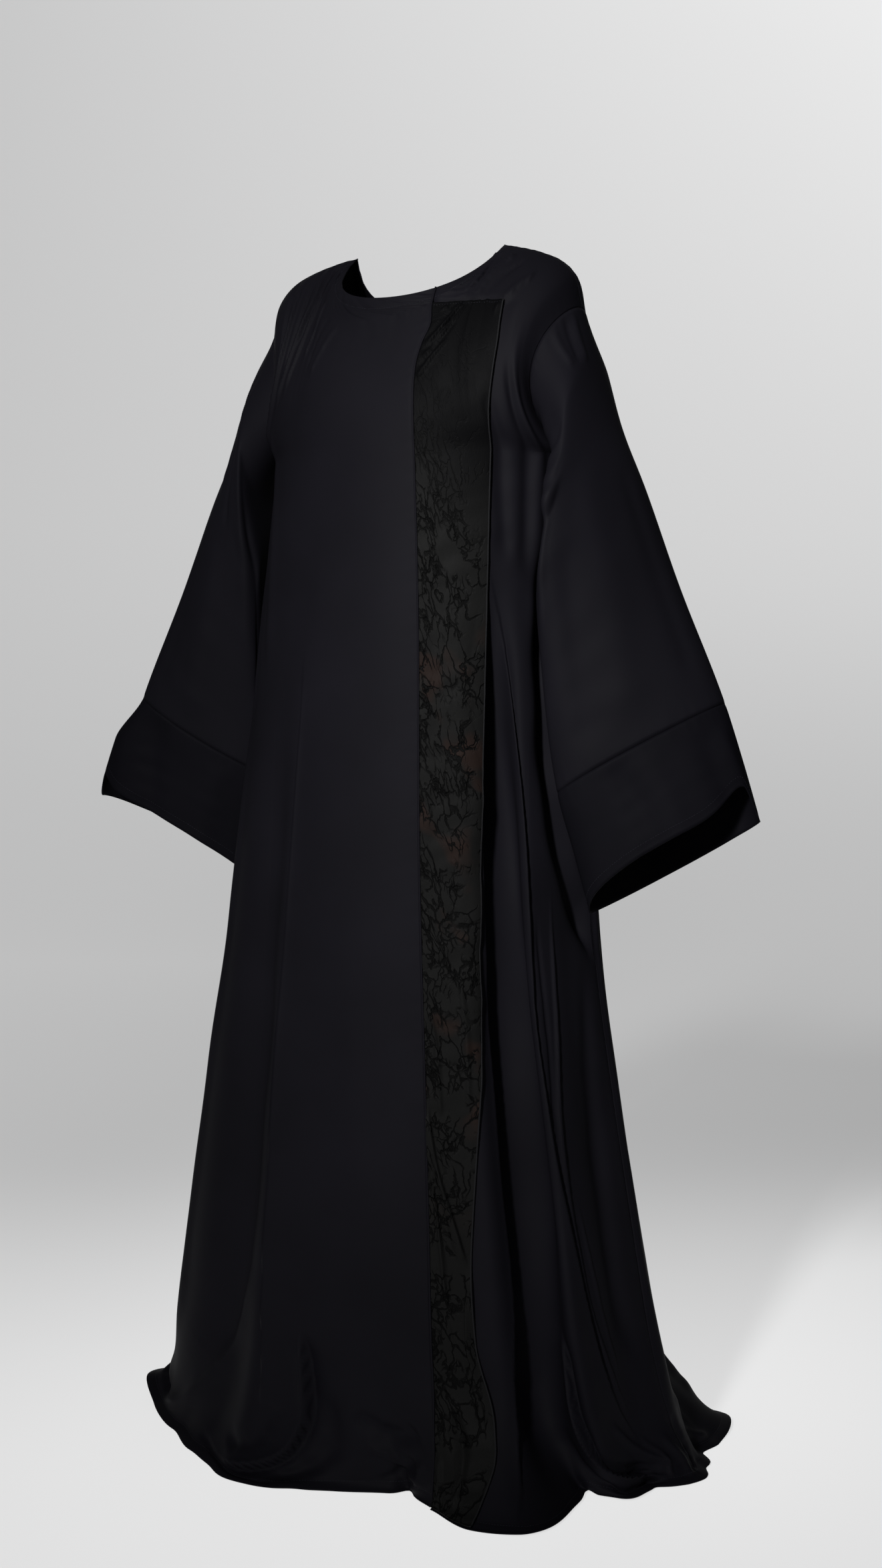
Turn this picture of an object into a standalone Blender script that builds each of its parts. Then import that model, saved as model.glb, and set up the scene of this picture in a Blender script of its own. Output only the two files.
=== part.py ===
"""Abaya cloak: a floor-length robe with wide sleeves, deep cuffs and a broad band let into the front.

The robe hangs hollow, as it does when it is worn. The origin lies between the two neck points of the
shoulder seams, where the wearer holds it up. +Z is up, the front faces -Y and the wearer's left is +X.
Angles round the body are in degrees: 0 is the middle of the front, 90 the wearer's left side seam,
180 the middle of the back and 270 (or -90) the wearer's right side seam. "Down" is the distance along
the cloth below the underarm, and it is negative above the underarm. Lengths are in metres.
"""

import math

import bpy
import numpy as np

CLOTH = 0.0015  # wall of the crepe, with its turned seams
BAND_CLOTH = 0.0017  # the band is a little stiffer
ROLLED_EDGE = 0.0030  # thickness of the corded hem on the band's free edge
PIPED_EDGE = 0.0026  # thickness of the piped seam edge beside the band
SEAM_STEP = 0.00017  # each piece stops this far short of its seam
FLOOR = -1.5
LIE = 0.0003  # clearance of the cloth above the floor

UNDERARM = -0.27  # height of the underarm points
RISE = 0.24  # cloth length from the underarm to the shoulder
HEM_DOWN = 1.30  # cloth length from the underarm to the hem

ARMHOLE_INSET = 0.030  # how far the middle of the armhole curves in towards the chest
ARMHOLE_REACH = 0.14  # how far along the sleeve that curve can be seen
NECK_HALF_WIDTH = 0.106
NECK_TIP_Y = 0.006
NECK_SQUARENESS = 0.20
SHOULDER_SHARE = 0.28  # share of a front or back, from its side, that ends in the shoulder seam

BAND_TOP = -0.084  # height of the band's stitched top edge
BAND_BEHIND = 0.0027  # the left front lies this far behind the band
BAND_BEHIND_START = 0.012  # it starts to sink this far above the band's top edge
BAND_SWING = 12.0  # degrees beyond the band over which the left front comes back out
BAND_LIFT = 0.0012  # how far the band's free edge stands off
BAND_FLOOR = (8.0, 18.0, 64.0, 76.0)  # angles between which the hem rests on the left front's own hem

ARM_CLEARANCE = 0.016  # a sleeve stays this far outside the body
ARM_CLEARANCE_ALONG = (0.03, 0.16)  # where along the sleeve that begins and where it is whole
ARM_CLEARANCE_DEPTH = (0.06, 0.05)  # it starts this far above the underarm and grows over this height
ARM_CLEARANCE_BLEND = 0.02

COLUMN_PULL_IN = 0.08  # slopes with which a column of cloth meets the shoulder seam and the neckline
COLUMN_PULL_BACK = {"shoulder": 0.16, "neck": 0.05}
COLUMN_PULL_UP = {"shoulder": 0.06, "neck": 0.16}


def read_table(names, *rows):
    return {name: np.array([row[i] for row in rows], float) for i, name in enumerate(names)}


# Sections of the body below the underarm. front and back are depths from the side seams' plane.
SECTIONS = read_table(
    ("down", "height", "half_width", "front", "back", "shift"),
    (0.00, -0.270, 0.203, 0.158, 0.118, 0.000),
    (0.18, -0.450, 0.217, 0.172, 0.124, -0.006),
    (0.38, -0.649, 0.231, 0.186, 0.136, -0.011),
    (0.58, -0.848, 0.245, 0.198, 0.150, -0.017),
    (0.78, -1.047, 0.272, 0.208, 0.167, -0.020),
    (0.98, -1.244, 0.302, 0.218, 0.190, -0.019),
    (1.11, -1.371, 0.323, 0.226, 0.214, -0.015),
    (1.18, -1.438, 0.345, 0.232, 0.236, -0.008),
    (1.22, -1.470, 0.364, 0.238, 0.256, -0.002),
    (1.26, -1.490, 0.382, 0.244, 0.278, 0.000),
    (1.30, -1.498, 0.400, 0.252, 0.300, 0.000),
)

# Folds that fall to the hem: where each starts and is full (down), its angle there and at the hem,
# its half width in degrees and its depth, outward for a ridge and inward for a valley.
FOLDS = read_table(
    ("start", "full", "angle_top", "angle_hem", "width_top", "width_hem", "depth"),
    (0.40, 1.10, -19, -19, 6, 6, 0.008),
    (0.20, 1.05, -33, -34, 9, 10, -0.022),
    (0.40, 1.15, -64, -64, 12, 12, 0.006),
    (0.35, 1.10, -92, -92, 8, 8, -0.016),
    (0.20, 1.00, 41, 42, 4, 4, 0.006),
    (0.05, 0.90, 48, 49, 5, 6, -0.030),
    (0.15, 0.90, 54, 60, 5, 6, 0.014),
    (0.30, 1.05, 74, 80, 6, 7, -0.010),
    (0.40, 1.10, 94, 96, 7, 7, 0.008),
    (0.25, 1.05, 112, 113, 7, 7, -0.016),
    (0.10, 0.95, 130, 131, 7, 7, 0.016),
    (0.35, 1.10, 148, 149, 6, 7, -0.022),
    (0.20, 1.05, 165, 166, 7, 7, 0.016),
    (0.15, 1.00, 184, 184, 7, 8, -0.024),
    (0.30, 1.10, 202, 201, 7, 7, 0.018),
    (0.20, 1.05, 220, 219, 6, 7, -0.022),
    (0.10, 0.95, 238, 238, 7, 7, 0.014),
)

# The last stretch of cloth lies on the floor: how far it runs out past its section, and how it lifts.
POOL_START = 1.10
HEM = read_table(
    ("angle", "reach", "lift"),
    (-90, 0.000, 0.012),
    (-76, 0.000, 0.022),
    (-62, -0.016, 0.004),
    (-46, -0.008, 0.000),
    (-33, 0.026, 0.000),
    (-13, 0.026, 0.000),
    (1, -0.008, 0.000),
    (12, -0.030, 0.000),
    (19, 0.000, 0.000),
    (27, 0.046, 0.000),
    (35, 0.056, 0.000),
    (46, 0.000, 0.000),
    (57, -0.042, 0.000),
    (70, -0.044, 0.000),
    (83, -0.022, 0.000),
    (106, -0.034, 0.000),
    (114, 0.000, 0.000),
    (126, 0.012, 0.004),
    (145, -0.010, 0.000),
    (165, 0.020, 0.000),
    (190, -0.010, 0.000),
    (215, 0.020, 0.000),
    (238, -0.012, 0.000),
)

# Edges of the band at each height: distance of the edge from the middle of the front, to the left.
BAND = read_table(
    ("height", "inner", "outer"),
    (-1.500, 0.130, 0.196),
    (-1.450, 0.128, 0.200),
    (-1.410, 0.122, 0.190),
    (-1.316, 0.112, 0.160),
    (-1.213, 0.106, 0.152),
    (-1.047, 0.097, 0.155),
    (-0.800, 0.084, 0.145),
    (-0.452, 0.072, 0.145),
    (-0.234, 0.061, 0.143),
    (-0.136, 0.056, 0.142),
    (-0.084, 0.058, 0.143),
    (0.000, 0.060, 0.146),
)

# The shoulder seam from the armhole to the neck point.
SHOULDER = read_table(
    ("share", "x", "y", "z"),
    (0.00, 0.215, 0.000, -0.088),
    (0.22, 0.207, 0.001, -0.052),
    (0.42, 0.187, 0.003, -0.028),
    (0.68, 0.152, 0.005, -0.012),
    (1.00, 0.106, 0.006, 0.000),
)

# Neckline: how far it dips forward or back of the neck points, and down.
NECK = {"front": (0.112, 0.074, 1.0), "back": (0.060, 0.072, 0.55)}

# Sections of a sleeve. "upper" is the fold over the arm and "lower" the fold below it.
SLEEVE = read_table(
    ("along", "upper_x", "upper_y", "upper_z", "lower_x", "lower_z", "front", "back"),
    (0.00, 0.215, 0.000, -0.088, 0.203, -0.270, 0.075, 0.062),
    (0.05, 0.223, -0.002, -0.112, 0.214, -0.284, 0.074, 0.063),
    (0.14, 0.240, -0.005, -0.158, 0.228, -0.318, 0.070, 0.066),
    (0.30, 0.268, -0.012, -0.236, 0.222, -0.378, 0.060, 0.064),
    (0.48, 0.303, -0.020, -0.311, 0.214, -0.445, 0.052, 0.060),
    (0.70, 0.352, -0.028, -0.432, 0.220, -0.550, 0.044, 0.052),
    (1.00, 0.413, -0.035, -0.572, 0.236, -0.678, 0.040, 0.044),
    (1.14, 0.437, -0.038, -0.641, 0.254, -0.748, 0.042, 0.044),
    (1.28, 0.458, -0.040, -0.708, 0.273, -0.818, 0.044, 0.044),
)
# How far forward the lower fold hangs on each side.
LOWER_FOLD = {
    "left": (0.000, -0.012, -0.046, -0.085, -0.095, -0.100, -0.112, -0.110, -0.108),
    "right": (0.000, -0.004, -0.012, -0.020, -0.014, 0.000, 0.012, 0.014, 0.016),
}
CUFF_SEAM = 1.00
CUFF_HEM = 1.28
CUFF_BULGE = {"left": 0.0, "right": 0.024}  # how far the hand fills out the cuff
CUFF_BULGE_REACH = 0.12  # and how far below the cuff's seam it does so fully
CUFF_FRONT_LIFT = 0.030  # the front of the cuff's hem rides up over the hand

SHOULDER_CELLS = 15  # columns of cloth from a side seam to the neck point
NECK_CELLS = 13  # columns across the back neck
RIGHT_FRONT_CELLS = 16  # columns from the right neck point to the band's seam
LEFT_FRONT_CELLS = 4  # columns from the band's seam to the left neck point
BAND_CELLS = 6  # columns across the band, shared with the left front behind it
RISE_CELLS = 10  # rows from the underarm to the shoulder
BAND_ROW = 2  # the row of points that is drawn down to the band's top edge
FALL_ROWS = (0.0, 0.07, 0.16, 0.26, 0.37, 0.48, 0.59, 0.70, 0.80, 0.90, 0.99, 1.07)  # then closer together
FALL_ROWS += (1.13, 1.175, 1.21, 1.24, 1.27, 1.30)
SLEEVE_ROWS = (0.0, 0.05, 0.11, 0.19, 0.28, 0.38, 0.48, 0.58, 0.69, 0.80, 0.90, 1.0)
CUFF_ROWS = (1.0, 1.07, 1.14, 1.21, 1.28)
BISECTIONS = 30  # halvings when an edge is looked for
TOP_STEPS = 97  # steps from the shoulder to the underarm when the band's top edge is looked for
BACK_SIDE = 0.001  # degrees that the back's side columns stay behind the side seams

FABRICS = {
    "crepe": {"colour": (0.012, 0.012, 0.016), "roughness": 0.62},
    "jacquard": {"colour": (0.020, 0.019, 0.019), "roughness": 0.42},
}


def smooth(x, xs, ys):
    """Value at x of a curve through (xs, ys) that never overshoots its points."""
    xs = np.asarray(xs, float)
    ys = np.asarray(ys, float)
    span = np.diff(xs)
    slope = np.diff(ys) / span
    ahead = span[:-1] + 2 * span[1:]
    behind = 2 * span[:-1] + span[1:]
    same_way = slope[:-1] * slope[1:] > 0
    before = np.where(same_way, slope[:-1], 1)
    after = np.where(same_way, slope[1:], 1)
    tangent = np.zeros(len(xs))
    tangent[0] = slope[0]
    tangent[-1] = slope[-1]
    tangent[1:-1] = np.where(same_way, (ahead + behind) / (ahead / before + behind / after), 0)
    x = np.clip(x, xs[0], xs[-1])
    i = np.clip(np.searchsorted(xs, x) - 1, 0, len(xs) - 2)
    t = (x - xs[i]) / span[i]
    return hermite(t, ys[i], ys[i + 1], span[i] * tangent[i], span[i] * tangent[i + 1])


def hermite(t, start, end, start_tangent, end_tangent):
    t2 = t * t
    t3 = t2 * t
    return (
        (2 * t3 - 3 * t2 + 1) * start
        + (3 * t2 - 2 * t3) * end
        + (t3 - 2 * t2 + t) * start_tangent
        + (t3 - t2) * end_tangent
    )


def ease(x):
    """0 below 0, 1 above 1 and a smooth step between."""
    x = np.clip(x, 0, 1)
    return x * x * (3 - 2 * x)


def floor_height(angle):
    """Lowest the outer surface may lie: the left front's hem passes under the band."""
    start, full, end, clear = BAND_FLOOR
    turned = turn_between(angle, 0)
    under = ease((turned - start) / (full - start)) * (1 - ease((turned - end) / (clear - end)))
    return FLOOR + CLOTH + LIE + BAND_BEHIND * under


def turn_between(angle, other):
    return (angle - other + 180) % 360 - 180


def round_table(angle, table, name):
    """Value of a table that runs once round the body."""
    angles = np.concatenate([table["angle"] - 360, table["angle"], table["angle"] + 360])
    return smooth((angle + 90) % 360 - 90, angles, np.tile(table[name], 3))


def fold_depth(angle, down):
    depth = np.zeros(np.broadcast(angle, down).shape)
    for row in zip(*(FOLDS[name] for name in FOLDS)):
        start, full, angle_top, angle_hem, width_top, width_hem, deep = row
        share = np.clip((down - start) / (HEM_DOWN - start), 0, 1)
        centre = angle_top + (angle_hem - angle_top) * share
        width = width_top + (width_hem - width_top) * share
        away = turn_between(angle, centre) / width
        depth = depth + deep * ease((down - start) / (full - start)) * np.exp(-away * away)
    return depth


def lower_body(angle, down):
    """Points of the body's outer surface below the underarm."""
    down = np.maximum(down, 0)
    half_width = smooth(down, SECTIONS["down"], SECTIONS["half_width"])
    front = smooth(down, SECTIONS["down"], SECTIONS["front"])
    back = smooth(down, SECTIONS["down"], SECTIONS["back"])
    across = np.sin(np.radians(angle))
    ahead = np.cos(np.radians(angle))
    deep = np.where(ahead > 0, front, back)
    out = np.stack([across / half_width, -ahead / deep], -1)
    out = out / np.linalg.norm(out, axis=-1, keepdims=True)
    pooled = ease((down - POOL_START) / (HEM_DOWN - POOL_START))
    outward = fold_depth(angle, down) + pooled * round_table(angle, HEM, "reach")
    x = smooth(down, SECTIONS["down"], SECTIONS["shift"]) + half_width * across + outward * out[..., 0]
    y = -deep * ahead + outward * out[..., 1]
    z = smooth(down, SECTIONS["down"], SECTIONS["height"]) + pooled * round_table(angle, HEM, "lift")
    z = np.maximum(z, floor_height(angle))
    return np.stack(np.broadcast_arrays(x, y, z), -1)


def armhole(turn):
    """Points of the left armhole: turn 0 is its top, 0.25 its front, 0.5 the underarm, 0.75 its back."""
    return sleeve_section(turn, np.zeros_like(turn), "left", clear=False)


def column_ends(angle):
    """Top point and end tangent of the body's column at this angle."""
    facing_front = np.cos(np.radians(angle)) >= 0
    side = np.where(np.sin(np.radians(angle)) >= 0, 1.0, -1.0)
    from_middle = np.abs(turn_between(angle, np.where(facing_front, 0, 180)))
    share = np.abs(90 - from_middle) / 180
    along = np.clip(share / SHOULDER_SHARE, 0, 1)
    dip = np.clip((share - SHOULDER_SHARE) / (0.5 - SHOULDER_SHARE), 0, 1) * math.pi / 2
    reach_sin = np.sin(dip)
    reach_cos = np.cos(dip)
    on_neck = share > SHOULDER_SHARE
    forward = np.where(facing_front, -NECK["front"][0], NECK["back"][0])
    drop = np.where(facing_front, NECK["front"][1], NECK["back"][1])
    power = np.where(facing_front, NECK["front"][2], NECK["back"][2])
    neck_x = NECK_HALF_WIDTH * reach_cos * (1 + NECK_SQUARENESS * reach_sin * reach_sin)
    x = side * np.where(on_neck, neck_x, smooth(along, SHOULDER["share"], SHOULDER["x"]))
    y = np.where(on_neck, NECK_TIP_Y + forward * reach_sin, smooth(along, SHOULDER["share"], SHOULDER["y"]))
    z = np.where(on_neck, -drop * reach_sin**power, smooth(along, SHOULDER["share"], SHOULDER["z"]))
    over = np.where(facing_front, 1.0, -1.0)
    at_shoulder = 1 - reach_sin
    tangent_x = -side * COLUMN_PULL_IN * ease(along) * reach_cos
    tangent_y = over * (COLUMN_PULL_BACK["shoulder"] * at_shoulder + COLUMN_PULL_BACK["neck"] * reach_sin)
    tangent_z = COLUMN_PULL_UP["shoulder"] * at_shoulder + COLUMN_PULL_UP["neck"] * reach_sin
    top = np.stack(np.broadcast_arrays(x, y, z), -1)
    tangent = np.stack(np.broadcast_arrays(tangent_x, tangent_y, tangent_z), -1)
    return top, tangent, share, side, facing_front


def upper_column(angle, rise):
    top, end_tangent, _, _, _ = column_ends(angle)
    foot = lower_body(angle, np.zeros_like(angle))
    start_tangent = (foot - lower_body(angle, np.full_like(angle, 0.02))) / 0.02 * RISE
    return hermite(rise[..., None], foot, top, start_tangent, end_tangent)


def upper_body(angle, rise):
    """Points between the underarm (rise 0) and the shoulder seam or neckline (rise 1)."""
    _, _, share, side, facing_front = column_ends(angle)
    side_angle = np.where(facing_front, side * 90.0, np.where(side > 0, 90.001, 269.999))
    edge_turn = np.where(facing_front, 0.5 - 0.5 * rise, 0.5 + 0.5 * rise)
    edge = armhole(edge_turn)
    edge[..., 0] *= side
    near = ((1 - 4 * share * share) ** 2)[..., None]
    return upper_column(angle, rise) + near * (edge - upper_column(side_angle, rise))


def body_point(angle, down):
    angle, down = np.broadcast_arrays(np.asarray(angle, float), np.asarray(down, float))
    rise = np.clip(-down / RISE, 0, 1)
    return np.where((down < 0)[..., None], upper_body(angle, rise), lower_body(angle, down))


def facing(point_at, a, b, step_a, step_b, low_b=None, high_b=None):
    """Unit normal of a surface, along (change with b) x (change with a)."""
    along_a = point_at(a + step_a, b) - point_at(a - step_a, b)
    before = b - step_b if low_b is None else np.maximum(b - step_b, low_b)
    after = b + step_b if high_b is None else np.minimum(b + step_b, high_b)
    along_b = point_at(a, after) - point_at(a, before)
    normal = np.cross(along_b, along_a)
    return normal / np.linalg.norm(normal, axis=-1, keepdims=True)


def body_facing(angle, down):
    facing_front = np.cos(np.radians(angle)) >= 0
    inner_side = np.where(facing_front, np.clip(angle, -89.4, 89.4), np.clip(angle % 360, 90.6, 269.4))
    at = np.where(down < 0, inner_side, angle)
    return facing(body_point, at, down, 0.5, 0.004, -RISE, HEM_DOWN)


def sleeve_section(turn, along, side, clear=True):
    """Points round a sleeve, for the left arm; the right arm's sleeve is mirrored afterwards."""
    turn, along = np.broadcast_arrays(np.asarray(turn, float), np.asarray(along, float))
    value = {name: smooth(along, SLEEVE["along"], SLEEVE[name]) for name in SLEEVE if name != "along"}
    lower_y = smooth(along, SLEEVE["along"], LOWER_FOLD[side])
    low = (1 - np.cos(2 * math.pi * turn)) / 2
    swing = np.sin(2 * math.pi * turn)
    depth = np.where(swing > 0, value["front"], value["back"])
    inset = ARMHOLE_INSET * (1 - ease(along / ARMHOLE_REACH)) * swing * swing
    bulge = CUFF_BULGE[side] * ease((along - CUFF_SEAM) / CUFF_BULGE_REACH) * (1 - low)
    x = value["upper_x"] + (value["lower_x"] - value["upper_x"]) * low - inset + bulge
    y = value["upper_y"] + (lower_y - value["upper_y"]) * low - depth * swing
    z = value["upper_z"] + (value["lower_z"] - value["upper_z"]) * low
    at_hem = ease((along - CUFF_SEAM) / (CUFF_HEM - CUFF_SEAM))
    z = z + CUFF_FRONT_LIFT * at_hem * np.maximum(swing, 0)
    if clear:
        x, y = outside_body(x, y, z, along)
    return np.stack([x, y, z], -1)


def outside_body(x, y, z, along):
    """Pushes a sleeve's points out of the body and ARM_CLEARANCE beyond it."""
    down = smooth(-z, -SECTIONS["height"], SECTIONS["down"])
    half_width = smooth(down, SECTIONS["down"], SECTIONS["half_width"])
    front = smooth(down, SECTIONS["down"], SECTIONS["front"])
    back = smooth(down, SECTIONS["down"], SECTIONS["back"])
    deep = np.where(y < 0, front, back)
    apart = np.hypot(x / half_width, y / deep)
    begins, whole = ARM_CLEARANCE_ALONG
    above, growth = ARM_CLEARANCE_DEPTH
    least = 1 + ARM_CLEARANCE * np.clip(along / whole, 0, 1) / half_width
    wanted = (apart + least + np.hypot(apart - least, ARM_CLEARANCE_BLEND)) / 2
    grow = 1 + (wanted / apart - 1) * ease(along / begins) * ease((UNDERARM + above - z) / growth)
    return x * grow, y * grow


def grid_solid(name, outer, inner, ring, fabric):
    """A closed wall between two grids of points. A ring's columns run all the way round."""
    rows, columns = outer.shape[:2]
    count = rows * columns
    faces = []
    spans = columns if ring else columns - 1
    for i in range(rows - 1):
        for j in range(spans):
            k = (j + 1) % columns
            a, b, c, d = i * columns + j, i * columns + k, (i + 1) * columns + k, (i + 1) * columns + j
            faces.append((a, d, c, b))
            faces.append((a + count, b + count, c + count, d + count))
    for j in range(spans):
        k = (j + 1) % columns
        last = (rows - 1) * columns
        faces.append((j, k, k + count))
        faces.append((j, k + count, j + count))
        faces.append((last + k, last + j, last + k + count))
        faces.append((last + j, last + j + count, last + k + count))
    if not ring:
        for i in range(rows - 1):
            a, d = i * columns, (i + 1) * columns
            faces.append((d, a, a + count, d + count))
            b, c = a + columns - 1, d + columns - 1
            faces.append((b, c, c + count, b + count))
    mesh = bpy.data.meshes.new(name)
    mesh.from_pydata(np.concatenate([outer.reshape(-1, 3), inner.reshape(-1, 3)]).tolist(), [], faces)
    mesh.materials.append(fabric)
    mesh.shade_smooth()
    mesh.set_sharp_from_angle(angle=math.radians(50))
    piece = bpy.data.objects.new(name, mesh)
    bpy.context.scene.collection.objects.link(piece)
    return piece


def step_back(points, edge, inside):
    """Moves an edge of a grid towards its neighbouring row or column, to leave the seam's gap."""
    way = points[inside] - points[edge]
    points[edge] += way / np.linalg.norm(way, axis=-1, keepdims=True) * SEAM_STEP


def edge_angle(name, down):
    """Angle at which the body's front meets an edge of the band, for each distance down."""
    low = np.full(np.shape(down), -10.0)
    high = np.full(np.shape(down), 85.0)
    for _ in range(BISECTIONS):
        middle = (low + high) / 2
        point = body_point(middle, down)
        short = point[..., 0] < smooth(point[..., 2], BAND["height"], BAND[name])
        low = np.where(short, middle, low)
        high = np.where(short, high, middle)
    return (low + high) / 2


def body_rows(tops):
    """Distance down of every row and column. tops is where each column's BAND_ROW lies."""
    above = np.arange(BAND_ROW)[:, None] / BAND_ROW
    below = np.arange(RISE_CELLS - BAND_ROW)[:, None] / (RISE_CELLS - BAND_ROW)
    fall = np.repeat(np.array(FALL_ROWS)[:, None], len(tops), 1)
    return np.concatenate([(tops + RISE) * above - RISE, tops * (1 - below), fall])


def plain_tops(columns):
    """BAND_ROW in its even place, for columns that are far from the band."""
    return np.full(columns, -RISE * (1 - BAND_ROW / RISE_CELLS))


def column_tops(share, nearness):
    """Where each column's BAND_ROW lies: on the band's top edge where nearness is 1."""
    plain = plain_tops(len(share))
    return plain + (top_of_band(share) - plain) * nearness


def seam_direction(turn, side):
    """Direction through both walls at a point of the armhole seam."""
    rise = 1 - np.abs(turn - 0.5) * 2
    front = turn < 0.5
    angle = np.where(front, 90.0, 90.001) if side == "left" else np.where(front, -90.0, 269.999)
    of_body = body_facing(angle, -RISE * (1 - rise))
    of_sleeve = sleeve_facing(turn, np.full_like(turn, 0.02), side)
    both = of_body + of_sleeve
    return both / np.linalg.norm(both, axis=-1, keepdims=True)


def across_ring(turn, along, direction, side):
    """Direction down the sleeve, square to a ring's edge and to the direction through its wall."""
    edge = sleeve_point(turn + 0.002, along, side) - sleeve_point(turn - 0.002, along, side)
    across = np.cross(direction, edge)
    across = across / np.linalg.norm(across, axis=-1, keepdims=True)
    return across if side == "left" else -across


def sleeve_point(turn, along, side):
    point = sleeve_section(turn, along, side)
    if side == "right":
        point = point * np.array([-1.0, 1.0, 1.0])
    return point


def sleeve_facing(turn, along, side):
    normal = facing(lambda t, s: sleeve_point(t, s, side), turn, along, 0.004, 0.01, 0.0, CUFF_HEM)
    return -normal if side == "left" else normal


def shoulder_direction(angle):
    """Direction through both walls at the shoulder seam, the same for the front and the back."""
    front_angle = np.where(np.cos(np.radians(angle)) >= 0, angle, 180 - angle)
    top = np.full_like(angle, -RISE)
    both = body_facing(front_angle, top) + body_facing(180 - front_angle, top)
    return both / np.linalg.norm(both, axis=-1, keepdims=True)


def left_front_depth(angle, down):
    """How far the left front lies behind the body's surface, to leave room for the band."""
    beyond = edge_angle("outer", down)
    height = body_point(angle, down)[..., 2]
    below_top = ease((BAND_TOP + BAND_BEHIND_START - height) / BAND_BEHIND_START)
    return BAND_BEHIND * below_top * (1 - ease((angle - beyond) / BAND_SWING))


def body_panel(name, angles, downs, fabric, left_edge, right_edge, behind=None, thick=None):
    """One panel of the body. Its edges are "armhole" (with the side seam below it) or "seam"."""
    outer = body_point(angles, downs)
    normal = body_facing(angles, downs)
    on_shoulder = np.abs(90 - np.abs(turn_between(angles[0], 0))) / 180 <= SHOULDER_SHARE + 1e-6
    normal[0] = np.where(on_shoulder[:, None], shoulder_direction(angles[0]), normal[0])
    turns = np.arange(RISE_CELLS + 1) / RISE_CELLS * 0.5
    for column, edge in ((0, left_edge), (-1, right_edge)):
        if edge.startswith("armhole"):
            _, side, half = edge.split()
            turn = turns if half == "front" else 1 - turns
            through = seam_direction(turn, side)
            normal[: RISE_CELLS + 1, column] = through
            outer[: RISE_CELLS + 1, column] -= across_ring(turn, 0 * turn, through, side) * SEAM_STEP
    if behind is not None:
        outer = outer - normal * behind(angles, downs)[..., None]
    wall = np.full(angles.shape, CLOTH) if thick is None else thick
    edge_row = outer[0].copy()
    step_back(outer, np.s_[0], np.s_[1])
    outer[0] = np.where(on_shoulder[:, None], outer[0], edge_row)
    step_back(outer, np.s_[:, 0], np.s_[:, 1])
    step_back(outer, np.s_[:, -1], np.s_[:, -2])
    inner = outer - normal * wall[..., None]
    return grid_solid(name, outer, inner, False, fabric)


def spread(start, end, cells):
    """Angles from start to end, a row of columns for each row of the body."""
    share = np.arange(cells + 1) / cells
    start = np.asarray(start, float)[..., None]
    end = np.asarray(end, float)[..., None]
    return start + (end - start) * share


def neck_angle():
    return 90 - 180 * SHOULDER_SHARE


def right_grid():
    """Angle and distance down of every point of the right front."""
    column = np.arange(SHOULDER_CELLS + RIGHT_FRONT_CELLS + 1)
    nearness = ease((column - SHOULDER_CELLS) / RIGHT_FRONT_CELLS)
    downs = body_rows(column_tops(np.zeros(len(column)), nearness))
    level = np.zeros(len(downs))
    side = spread(level - 90, level - neck_angle(), SHOULDER_CELLS)
    chest = spread(level - neck_angle(), edge_angle("inner", downs[:, -1]), RIGHT_FRONT_CELLS)
    return np.concatenate([side, chest[:, 1:]], 1), downs


def left_grid():
    """Angle and distance down of every point of the left front; its first columns are the band's."""
    last = LEFT_FRONT_CELLS + SHOULDER_CELLS
    column = np.arange(last + 1)
    beyond = np.clip((column - BAND_CELLS) / (last - BAND_CELLS), 0, 1)
    share = np.clip(column / BAND_CELLS, 0, 1)
    downs = body_rows(column_tops(share, 1 - ease(beyond)))
    at_band = band_angle(share, downs)
    at_band = at_band + (90 - at_band) * beyond
    seam = edge_angle("inner", downs)
    to_neck = seam + (neck_angle() - seam) * np.clip(column / LEFT_FRONT_CELLS, 0, 1)
    from_neck = (90 - neck_angle()) * np.clip((column - LEFT_FRONT_CELLS) / SHOULDER_CELLS, 0, 1)
    lift = np.clip(1 - np.arange(len(downs)) / BAND_ROW, 0, 1)[:, None]
    return at_band + (to_neck + from_neck - at_band) * lift, downs


def back_grid():
    """Angle and distance down of every point of the back."""
    columns = 2 * SHOULDER_CELLS + NECK_CELLS + 1
    downs = body_rows(plain_tops(columns))
    level = np.zeros(len(downs))
    left = spread(level + 90, level + 180 - neck_angle(), SHOULDER_CELLS)
    middle = spread(level + 180 - neck_angle(), level + 180 + neck_angle(), NECK_CELLS)
    right = spread(level + 180 + neck_angle(), level + 270, SHOULDER_CELLS)
    angles = np.concatenate([left, middle[:, 1:], right[:, 1:]], 1)
    angles[:, 0] += BACK_SIDE
    angles[:, -1] -= BACK_SIDE
    return angles, downs


def build_body(crepe):
    angles, downs = right_grid()
    piped = np.full(angles.shape, CLOTH)
    piped[:, -1] = PIPED_EDGE
    body_panel("front_right", angles, downs, crepe, "armhole right front", "seam", thick=piped)
    angles, downs = left_grid()
    body_panel("front_left", angles, downs, crepe, "seam", "armhole left front", behind=left_front_depth)
    angles, downs = back_grid()
    body_panel("back", angles, downs, crepe, "armhole left back", "armhole right back")


def top_of_band(share):
    """Distance down at which each column of the band reaches its top edge."""
    shares, downs = np.meshgrid(np.arange(BAND_CELLS + 1) / BAND_CELLS, np.linspace(-RISE, 0, TOP_STEPS))
    depth = -body_point(band_angle(shares, downs), downs)[..., 2]
    tops = [np.interp(-BAND_TOP, depth[:, i], downs[:, i]) for i in range(BAND_CELLS + 1)]
    return np.interp(share, shares[0], tops)


def band_angle(share, down):
    inner = edge_angle("inner", down)
    return inner + (edge_angle("outer", down) - inner) * share


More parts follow.
